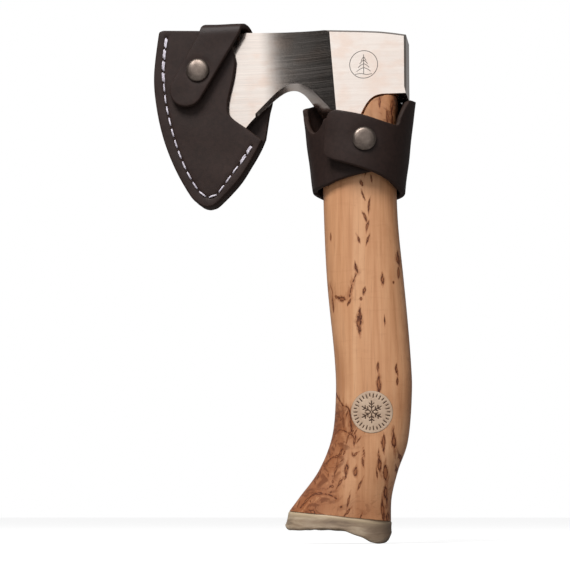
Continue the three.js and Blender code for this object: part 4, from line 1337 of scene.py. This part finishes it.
# Profiles as (radius, y), y being measured from the seat of each piece.
CAP_PROFILE = [(0.4, -2.02), (1.6, -2.0), (2.9, -1.93), (3.9, -1.84), (4.25, -1.74), (4.7, -1.68),
               (5.3, -1.42), (5.8, -1.05), (6.1, -0.68), (6.22, -0.38), (6.15, -0.12), (5.8, -0.02),
               (2.0, -0.02), (SHANK, -0.1)]
SOCKET = [(2.9, 0), (5.0, -0.02), (5.25, 0.1), (5.25, 0.35), (4.9, 0.6), (4.4, 0.72), (3.1, 0.72),
          (2.9, 0.6)]
STUD = [(TIP, -1.95), (1.2, -1.9), (1.8, -1.72), (2.15, -1.4), (2.1, -1.05), (2.3, -0.8), (3.2, -0.66),
        (4.6, -0.6), (5.0, -0.45), (5.0, -0.2), (4.8, -0.12), (TIP, -0.12)]
POST_HEAD = [(SHANK, 0), (3.8, 0), (3.9, 0.15), (3.8, 0.35), (3.3, 0.45), (TIP, 0.45)]
RIVET_POST = [(TIP, 0), (3.3, 0), (3.8, 0.1), (4.0, 0.25), (3.95, 0.42), (3.7, 0.45), (SHANK, 0.45)]
RIVET_CAP = [(TIP, 0), (3.9, 0), (4.15, 0.12), (4.2, 0.35), (3.9, 0.65), (3.2, 0.95), (2.2, 1.2)]


def placement(x, y, z, outward=(0, -1, 0)):
    """A matrix for a fastener at a point, its outer side facing outward."""
    turn = Vector((0, -1, 0)).rotation_difference(Vector(outward))
    return Matrix.Translation((x, y, z)) @ turn.to_matrix().to_4x4()


def raised(profile, seat):
    """A profile moved along y to its seat."""
    return [(radius, seat + y) for radius, y in profile]


def metal(name, solid, body, node):
    """A nickel piece from points and faces."""
    dress(mesh_of(name, *solid, crease=38), NICKEL, body, [node])


def fastener(name, profile, place, body, node):
    """A lathed nickel piece."""
    metal(name, lathe(profile, FASTENER_SIDES, place), body, node)


def snap(name, place, inner, face, behind, sit, upper, lower, nodes):
    """A snap fastener: cap and socket on the upper leather, stud and post on the lower one."""
    shank = [(SHANK, inner - 0.4), (TIP, inner - 0.4)]
    fastener(f"{name}_cap_domed", CAP_PROFILE + shank, place, upper, nodes[0])
    rings = np.vstack(circles(raised(SOCKET, inner + sit), FASTENER_SIDES))
    faces = []
    for i in range(len(SOCKET)):
        after = (i + 1) % len(SOCKET)
        faces += band(i * FASTENER_SIDES, after * FASTENER_SIDES, FASTENER_SIDES)
    metal(f"{name}_socket_ring", (moved(rings, place), faces), upper, nodes[1])
    fastener(f"{name}_stud_knob", raised(STUD, face), place, lower, nodes[2])
    post = [(TIP, face + 0.1), (SHANK, face + 0.1)] + raised(POST_HEAD, behind + sit)
    fastener(f"{name}_post_head", post, place, lower, nodes[3])


def rivet(name, body):
    """A rivet along y: its post's head in front, its domed cap behind."""
    x, z = centre_of(f"{name}_cap")
    place = Matrix.Translation((x, 0, z))
    front, end = depth_of(f"{name}_post")
    start, top = depth_of(f"{name}_cap")
    post = raised(RIVET_POST, front) + [(SHANK, end), (TIP, end)]
    fastener(f"{name}_post_round", post, place, body, f"{name}_post")
    cap = raised(RIVET_CAP, start) + [(1.0, top - 0.02), (TIP, top)]
    fastener(f"{name}_cap_round", cap, place, body, f"{name}_cap")


# ---------------------------------------------------------------- sheath
OUTER_EDGE = [(-65.6, 274.7), (-67.4, 274.0), (-68.4, 271.4), (-70.6, 250.4), (-69.3, 233.9),
              (-65.4, 216.2), (-58.8, 199.1), (-50.4, 184.2), (-45.4, 179.3), (-42.2, 177.8),
              (-39.4, 177.9), (-35.4, 180), (-25, 190.8), (-18, 201.5), (-13.8, 208.8)]
WELT_END = [(-11.7, 213.1)]
FRONT_LIP = [(-20.2, 219.6), (-26.8, 224.4), (-29.9, 227.9), (-30.4, 231.5), (-30, 236), (-27.4, 247.3),
             (-26.2, 256)]
BACK_LIP = [(-8.9, 228.8), (-7.4, 236), (-7.6, 248), (-10.5, 260), (-16.5, 273.2)]
WELT_TOE = [(-21, 208), (-28.4, 197.4), (-34.6, 188.9), (-39.5, 185.4), (-44.3, 185.6)]
WELT_INNER = [(-47.7, 190), (-51.8, 198.3), (-57.9, 213.2), (-61.9, 228.6), (-63.6, 245), (-63.4, 260),
              (-61.9, 274.3)]
SEAM = [(-63.7, 270.8), (-64.8, 262.5), (-65.5, 252.9), (-65.1, 246), (-64.1, 236.3), (-62.2, 226.7),
        (-60.1, 218.4), (-57.1, 208.8), (-53.2, 199.2), (-48.4, 190.3), (-44.3, 184.8), (-40.2, 182.6),
        (-36.1, 183.9), (-31.4, 189.8), (-26.1, 197.1), (-22, 202.4), (-17.3, 209.8)]
PITCH, STITCH = 6.33, 4.6  # from one stitch to the next, and its length
DOUBLED_START, DOUBLED_END = 25.0, 12.0  # lengths of seam that are sewn twice, at its two ends
THREAD_RADIUS, THREAD_SIDES, THREAD_RINGS = 0.45, 12, 22
# Each thread's offset and how much later it starts: one thread, or two where the seam is sewn twice.
THREADS = {False: [(0, 0)], True: [(-0.36, 0), (0.36, 0.7)]}
SINK = 0.18  # how deep the stitches lie in the leather
WELT_SUNK = 0.25  # how far the welt reaches into each panel
LEATHER_STEP = 0.8  # spacing of points along a cut edge

seam_path = along(spline(SEAM), 0.5)
seam_run = run_of(seam_path)
STRAP_SNAP = centre_of("strap_snap_cap")


def seam_at(length):
    """The point of the seam at a length along it."""
    return np.array([np.interp(length, seam_run, column) for column in seam_path.T])


def stitch_spans():
    """Start and end of each stitch along the seam, and whether it is sewn twice."""
    spans = []
    at = 0.2
    total = seam_run[-1]
    while at + STITCH < total + 0.5:
        twice = at < DOUBLED_START or at > total - DOUBLED_END
        length = STITCH + 0.5 if twice else STITCH
        spans.append((at, min(at + length, total), twice))
        at += PITCH
    return spans


def stitch(start, end, face, outward, shift, radius):
    """One stitch as a rope of two plies that dips into the leather at both ends."""
    rings = []
    angle = full_turn(THREAD_SIDES)
    along_it = end - start
    length = np.linalg.norm(along_it)
    way = along_it / length
    side = np.array([-way[1], way[0]])
    for t in np.linspace(0, 1, THREAD_RINGS):
        rise = radius * (1.7 * math.sin(math.pi * t) ** 0.45 - 1.0)
        middle = start + along_it * t + side * shift
        plies = 1 + 0.09 * np.cos(2 * (angle + t * length * 2.1))
        size = radius * plies * (1 - 0.35 * (2 * t - 1) ** 8)
        flat = middle + np.outer(size * np.cos(angle), side)
        rings.append(upright(flat, face + outward * (rise + size * np.sin(angle))))
    return loft(rings)


def make_stitches(name, face, outward, node):
    """All stitches of one panel, with two threads side by side where the seam is sewn twice."""
    parts = []
    for start, end, twice in stitch_spans():
        for shift, later in THREADS[twice]:
            a, b = seam_at(start + later), seam_at(end + later)
            parts.append(stitch(a, b, face, outward, shift, THREAD_RADIUS))
    dress(mesh_of(name, *joined(parts)), THREAD, "sheath", [node])


def seam_relief(flat):
    """The sewn groove and its needle holes, and a slight waviness of the leather."""
    gap = distance(flat, seam_path, closed=False)
    holes = [seam_at(length) for start, end, _ in stitch_spans() for length in (start, end)]
    near = np.min([np.linalg.norm(flat - hole, axis=1) for hole in holes], 0)
    groove, pricks = 0.42 * np.exp(-((gap / 0.8) ** 2)), 0.6 * np.exp(-((near / 0.5) ** 2))
    return groove + pricks + 0.10 * ripple(flat, 26, seed=9)


def seam_points():
    """Extra points beside the seam, so that the groove is smooth."""
    side = unit(np.gradient(seam_path, axis=0))
    across = np.stack([-side[:, 1], side[:, 0]], 1)
    shifts = (-1.35, -0.85, -0.42, 0, 0.42, 0.85, 1.35)
    return np.vstack([seam_path + across * shift for shift in shifts])


def flat_panel(outer_y, outward):
    """Places a flat sheet whose outer face is at outer_y and looks towards outward along y."""
    def place(flat, depth):
        return upright(flat, outer_y - outward * depth)

    return place


def make_panel(side, face, inner, lip, outward):
    """The front or the back panel, with its row of stitches."""
    loop = outline([OUTER_EDGE + lip[0], *lip[1:]], LEATHER_STEP)
    thick = abs(inner - face)
    place = flat_panel(face, outward)
    made = slab(loop, place, thick, relief=seam_relief, extra=seam_points())
    leather_piece(f"sheath_{side}_leather", made, "sheath", [f"sheath_{side}"])


def make_sheath():
    """The two panels with the welt between them, and the stitching."""
    front, back = depth_of("sheath_front"), depth_of("sheath_back")
    welt = depth_of("sheath_welt")
    make_panel("front", front[0], front[1], [WELT_END, FRONT_LIP, [(-29.5, 273.2)]], NEAR)
    make_panel("back", back[1], back[0], [[(-11, 215.2)], BACK_LIP], FAR_SIDE)
    loop = outline([OUTER_EDGE + WELT_END, [(-17, 217.1)], WELT_TOE, WELT_INNER], LEATHER_STEP)
    thick = welt[1] - welt[0] + 2 * WELT_SUNK
    made = slab(loop, flat_panel(welt[0] - WELT_SUNK, NEAR), thick, edge=0.45, spacing=2.4)
    leather_piece("sheath_welt_leather", made, "sheath", ["sheath_welt"])
    make_stitches("front_stitches", front[0] + SINK, NEAR, "front_stitching")
    make_stitches("back_stitches", back[1] - SINK, FAR_SIDE, "back_stitching")


# ---------------------------------------------------------------- strap over the top of the sheath
STRAP_WAY = np.array([0.51, 0.86]) / math.hypot(0.51, 0.86)
STRAP_HALF = 9.1
CAP_RADIUS = 6.2  # of a snap's cap
STRAP_END = np.array([-51.9, 240.5])
ROOT_END = np.array([-17.5, 251.0])
FOLD_BASE = 271.3  # the strap is flat below this height
FOLD_X = {1: (-23.0, -21.4, -20.8), -1: (-45.3, -43.7, -42.8)}  # its edges from the fold's base up
strap_face = depth_of("strap_flap")[0]
root_face = depth_of("strap_root")[1]
STRAP_THICK = depth_of("strap_flap")[1] - strap_face
FOLD_TOP = span("strap_bend")[1][2]

fold_line = along(spline([(strap_face, FOLD_BASE), (strap_face + 1.3, 275.2), (-4.6, 277.3),
                          (0, FOLD_TOP - 0.1), (4.2, 277.2), (root_face - 1.2, 275.2),
                          (root_face, FOLD_BASE)]), 0.4)
fold_run = run_of(fold_line)
FOLD_HALF = fold_run[-1] / 2


def place_strap(flat, depth):
    """flat holds x and the length along the strap's path over the top, 0 at the fold's middle."""
    x, s = flat[:, 0], flat[:, 1]
    at = (s + FOLD_HALF).clip(0, fold_run[-1])
    y = np.interp(at, fold_run, fold_line[:, 0])
    z = np.interp(at, fold_run, fold_line[:, 1])
    run = unit(np.gradient(fold_line, axis=0))
    way_y = np.interp(at, fold_run, run[:, 0])
    way_z = np.interp(at, fold_run, run[:, 1])
    before, after = (-FOLD_HALF - s).clip(0), (s - FOLD_HALF).clip(0)
    inside_fold = (before == 0) & (after == 0)
    way_y = np.where(inside_fold, way_y, 0)
    way_z = np.where(inside_fold, way_z, np.where(before > 0, 1, -1))
    z = z - before - after
    return np.stack([x, y + way_z * depth, z - way_y * depth], 1)


def strap_loop():
    """The strap's outline over its path: two leaning tongues joined across the fold."""
    side = np.array([STRAP_WAY[1], -STRAP_WAY[0]]) * STRAP_HALF
    near = np.array([STRAP_END[0], STRAP_END[1] - FOLD_BASE - FOLD_HALF])
    far = np.array([ROOT_END[0], FOLD_HALF + FOLD_BASE - ROOT_END[1]])
    slope = STRAP_WAY[0] / STRAP_WAY[1]
    turn = math.atan2(side[1], side[0])
    far_cap = arc(far, STRAP_HALF, turn, turn + math.pi, LEATHER_STEP)
    near_cap = arc(near, STRAP_HALF, turn + math.pi, turn + 2 * math.pi, LEATHER_STEP)
    bends = []
    for sign in (1, -1):
        start, end = near + sign * side, far + sign * side
        over = list(zip(FOLD_X[sign], (-FOLD_HALF, -FOLD_HALF / 2, -1.5)))
        for s in (FOLD_HALF + 3, FOLD_HALF + 6):
            over.append((end[0] + (s - end[1]) * slope, s))
        bends.append(np.vstack([start, spline(over, 20), end]))
    up, down = along(bends[0], 0.9), along(bends[1][::-1], 0.9)
    return np.vstack([up[:-1], far_cap[:-1], down[:-1], near_cap[:-1]])


def worn_round(centre, depth, size, seed):
    """A relief of slight waves, and a ring where a snap's cap presses the leather down."""
    def relief(flat):
        gap = np.linalg.norm(flat - centre, axis=1) - CAP_RADIUS
        return 0.28 * np.exp(-((gap / 1.1) ** 2)) + depth * ripple(flat, size, seed)

    return relief


def make_strap():
    """The strap in one piece, from its round end over the fold to its root."""
    snap_at = np.array([STRAP_SNAP[0], STRAP_SNAP[1] - FOLD_BASE - FOLD_HALF])
    relief = worn_round(snap_at, depth=0.07, size=19, seed=4)
    made = slab(strap_loop(), place_strap, STRAP_THICK, spacing=1.4, edge=0.75, relief=relief)
    nodes = ["strap_root", "strap_bend", "strap_flap"]
    strap = leather_piece("strap_leather", made, None, nodes)
    start = placed([[0, root_face - 2.8, FOLD_BASE]])[0]
    end = placed([[0, -2.5, FOLD_BASE]])[0]
    tuple(start)
    tuple(end)
    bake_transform(strap)


def make_strap_snap():
    """The snap that holds the strap on the front panel."""
    place = placement(STRAP_SNAP[0], strap_face, STRAP_SNAP[1])
    face, behind = (depth - strap_face for depth in depth_of("sheath_front"))
    nodes = ["strap_snap_cap", "strap_snap_socket", "sheath_snap_stud", "sheath_snap_post"]
    snap("strap_snap", place, STRAP_THICK, face, behind, 0.15, "strap", "sheath", nodes)


make_sheath()
make_strap()
make_strap_snap()
for number in (1, 2):
    rivet(f"strap_rivet_{number}", "sheath")


# ---------------------------------------------------------------- belt holder
HOLDER_X = float(centre_of("belt_loop")[0])
HOLDER_BOTTOM, HOLDER_TOP = 181.8, 238.0
HOLDER_HALF = (24.3, 31.2)  # half width at the bottom and top
HIDE = 2.8  # thickness of the holder's leather
BACK_DEPTH, UNDER_DEPTH, OVER_DEPTH = (19.6, 19.6), (17.4, 19.2), (23.1, 24.9)
OVER_SHIFT = 2.6  # added to the half width of the over flap's oval, whose middle lies as much further left
UNROLL = 26.0  # millimetres of outline per radian round the holder
HOLDER_SNAP = np.array([44.8, 208.7])


def holder_share(z):
    """How far up the holder a height is, from 0 to 1."""
    return (z - HOLDER_BOTTOM) / (HOLDER_TOP - HOLDER_BOTTOM)


def place_holder(flat, depth):
    """flat holds the turn round the holder times UNROLL, from its right side through its back, and z."""
    turn, z = flat[:, 0] / UNROLL, flat[:, 1]
    share = holder_share(z)
    half = lerp(HOLDER_HALF, share)
    over = turn < 0
    under = turn > math.pi
    low, high = (np.where(over, OVER_DEPTH[end], np.where(under, UNDER_DEPTH[end], BACK_DEPTH[end]))
                 for end in (0, 1))
    shift = np.where(over, OVER_SHIFT, 0)
    x = HOLDER_X - shift + (half + shift - depth) * np.cos(turn)
    y = (lerp((low, high), share) - depth) * np.sin(turn)
    return np.stack([x, y, z], 1)


def round_holder(wall, x, z):
    """The unrolled place of a point of the front view on the back, under or over wall."""
    half = lerp(HOLDER_HALF, holder_share(z))
    shift = OVER_SHIFT if wall == "over" else 0
    turn = math.acos(max(-1, min(1, (x - HOLDER_X + shift) / (half + shift))))
    turn = {"back": turn, "under": 2 * math.pi - turn, "over": -turn}[wall]
    return turn * UNROLL, z


def unrolled(wall, points):
    """Points of the front view, unrolled from one wall of the holder."""
    return [round_holder(wall, x, z) for x, z in points]


def wrap_loop(step):
    """The holder's back and under flap, from the joint on the right side round to the flap's end.

    Each line is one smooth run of the outline, as it looks from the front.
    """
    back_runs = [
        [(76, 232.3), (69.4, 233.6), (66, 234.2), (62.6, 234.3)],
        [(61.2, 235.1), (59.6, 236.4), (57.4, 237.3), (54, 237.4)],
        [(22, 236.6)],
        [(17.8, 235.6), (14.2, 234.0), (11.6, 232.4), (9.4, 230.2)],
        [(14.6, 184), (17, 183), (21, 181.8)],
        [(59, 181.8)],
        [(63, 182.4), (76, 183)],
    ]
    under_runs = [
        [(8.6, 227.6), (9.9, 225.6), (10.9, 222.6), (12.4, 218.9), (14.4, 216.2), (16.8, 214.9),
         (19.2, 215.9), (21.2, 218.6), (22.6, 221.4), (26.4, 222.0), (32, 219)],
        [(52, 213.6)],
        [(52, 193.4)],
        [(39.3, 190.9), (28.8, 188.3), (22, 186.2), (14.6, 184.4)],
    ]
    top, rise, level, notch, left, low, right = (unrolled("back", run) for run in back_runs)
    wave, end_top, end_bottom, hem = (unrolled("under", run) for run in under_runs)
    return outline([top, rise, level, notch + wave, end_top, end_bottom, hem + left, low, right], step)


def flap_loop(step):
    """The over flap and the front of the right side, up to the joint at the right."""
    runs = [
        [(76, 183), (63.6, 183.4)],
        [(61.5, 184.9), (58.4, 187.5), (52.7, 190.5), (42.3, 194), (31.9, 197.1), (26.6, 198.9)],
        [(24.1, 200.4), (22.9, 203.2), (23.7, 212.7), (24.8, 220.6), (26.4, 223.4), (29.4, 224.5)],
        [(42.5, 221.9), (52.9, 219), (58.4, 217.6), (61.5, 217.1)],
        [(62.5, 218.4), (63.2, 221.4), (64.8, 225.5), (66.2, 228.6), (67.4, 230.8), (68.8, 231.8)],
        [(76, 232.3)],
    ]
    return outline([unrolled("over", run) for run in runs], step)


def make_holder():
    """The holder's band round the handle and its over flap, which meet at the right side."""
    wrap, flap = wrap_loop(LEATHER_STEP), flap_loop(LEATHER_STEP)

    def wave(flat):
        return 0.08 * ripple(flat, 24, seed=6)

    butt = np.abs(wrap[:, 0]) < 1e-3
    made = slab(wrap, place_holder, HIDE, edge=0.75, relief=wave, butt=butt)
    leather_piece("holder_leather", made, "holder", ["holder_wrap"])
    snap_at = np.array(round_holder("over", *HOLDER_SNAP))
    relief = worn_round(snap_at, depth=0.08, size=24, seed=6)
    butt = np.abs(flap[:, 0]) < 1e-3
    made = slab(flap, place_holder, HIDE, spacing=1.4, edge=0.75, relief=relief, butt=butt)
    piece = leather_piece("holder_flap_leather", made, None, ["holder_flap"])
    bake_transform(piece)


def holder_face(depths, shift):
    """The y and outward normal of a holder wall's outer face at the snap."""
    share = holder_share(HOLDER_SNAP[1])
    rise = HOLDER_TOP - HOLDER_BOTTOM
    a = lerp(HOLDER_HALF, share) + shift
    b = lerp(depths, share)
    across = HOLDER_SNAP[0] - HOLDER_X + shift
    y = -b * math.sqrt(1 - (across / a) ** 2)
    widening = (HOLDER_HALF[1] - HOLDER_HALF[0]) / rise
    deepening = (depths[1] - depths[0]) / rise
    lean = -(across**2) * widening / a**3 - y**2 * deepening / b**3
    return y, Vector((across / a**2, y / b**2, lean)).normalized()


def make_holder_snap():
    """The snap that closes the over flap, set square to both walls."""
    over_y, over_way = holder_face(OVER_DEPTH, OVER_SHIFT)
    under_y, under_way = holder_face(UNDER_DEPTH, 0)
    axis = (over_way + under_way).normalized()
    face = (under_y - over_y) * abs(axis.y)
    place = placement(HOLDER_SNAP[0], over_y, HOLDER_SNAP[1], axis)
    nodes = [f"holder_snap_{part}" for part in ("cap", "socket", "stud", "post")]
    snap("holder_snap", place, HIDE, face, face + HIDE, 0.64, "holder_flap", "holder", nodes)


def make_belt_loop():
    """One strap folded into a loop, its two ends riveted together to the holder's back."""
    low, high = span("belt_loop")
    inner, outer = low[1] - MIDDLE_Y, high[1] - MIDDLE_Y
    thick, bottom, top = 2.6, low[2], high[2]
    shoulder, mouth = 250, 214  # the loop bends over above the one, and narrows below the other
    leg, free = inner + thick, outer - thick
    pinched = leg + 0.3 + thick
    middle = (inner + outer) / 2
    outside = [
        [(inner, bottom), (inner, shoulder)],
        [(inner + 0.6, 253.6), (inner + 2.6, 256.7), (middle, top), (outer - 2.6, 256.7),
         (outer - 0.6, 253.6), (outer, shoulder)],
        [(outer, mouth)],
        [(outer - 1.6, 208.5), (pinched + 0.8, 205), (pinched, 201.5)],
        [(pinched, bottom)],
    ]
    within = [
        [(leg + 0.12, bottom)],
        [(leg + 0.12, 202)],
        [(leg + 1.0, 206), (free - 1.2, 209.5), (free, mouth)],
        [(free, shoulder)],
        [(free - 0.5, 252.4), (middle, top - thick), (leg + 0.5, 252.4), (leg, shoulder)],
        [(leg, bottom)],
    ]
    loop = outline(outside + within, 0.7)
    width = high[0] - low[0]

    def place(flat, depth):
        return np.stack([low[0] + depth, *flat.T], 1)

    made = slab(loop, place, width, spacing=0.9, edge=0.6, rows=30)
    leather_piece("belt_loop_leather", made, "holder", ["belt_loop"])


make_holder()
make_holder_snap()
make_belt_loop()
for number in (1, 2):
    rivet(f"belt_rivet_{number}", "holder")
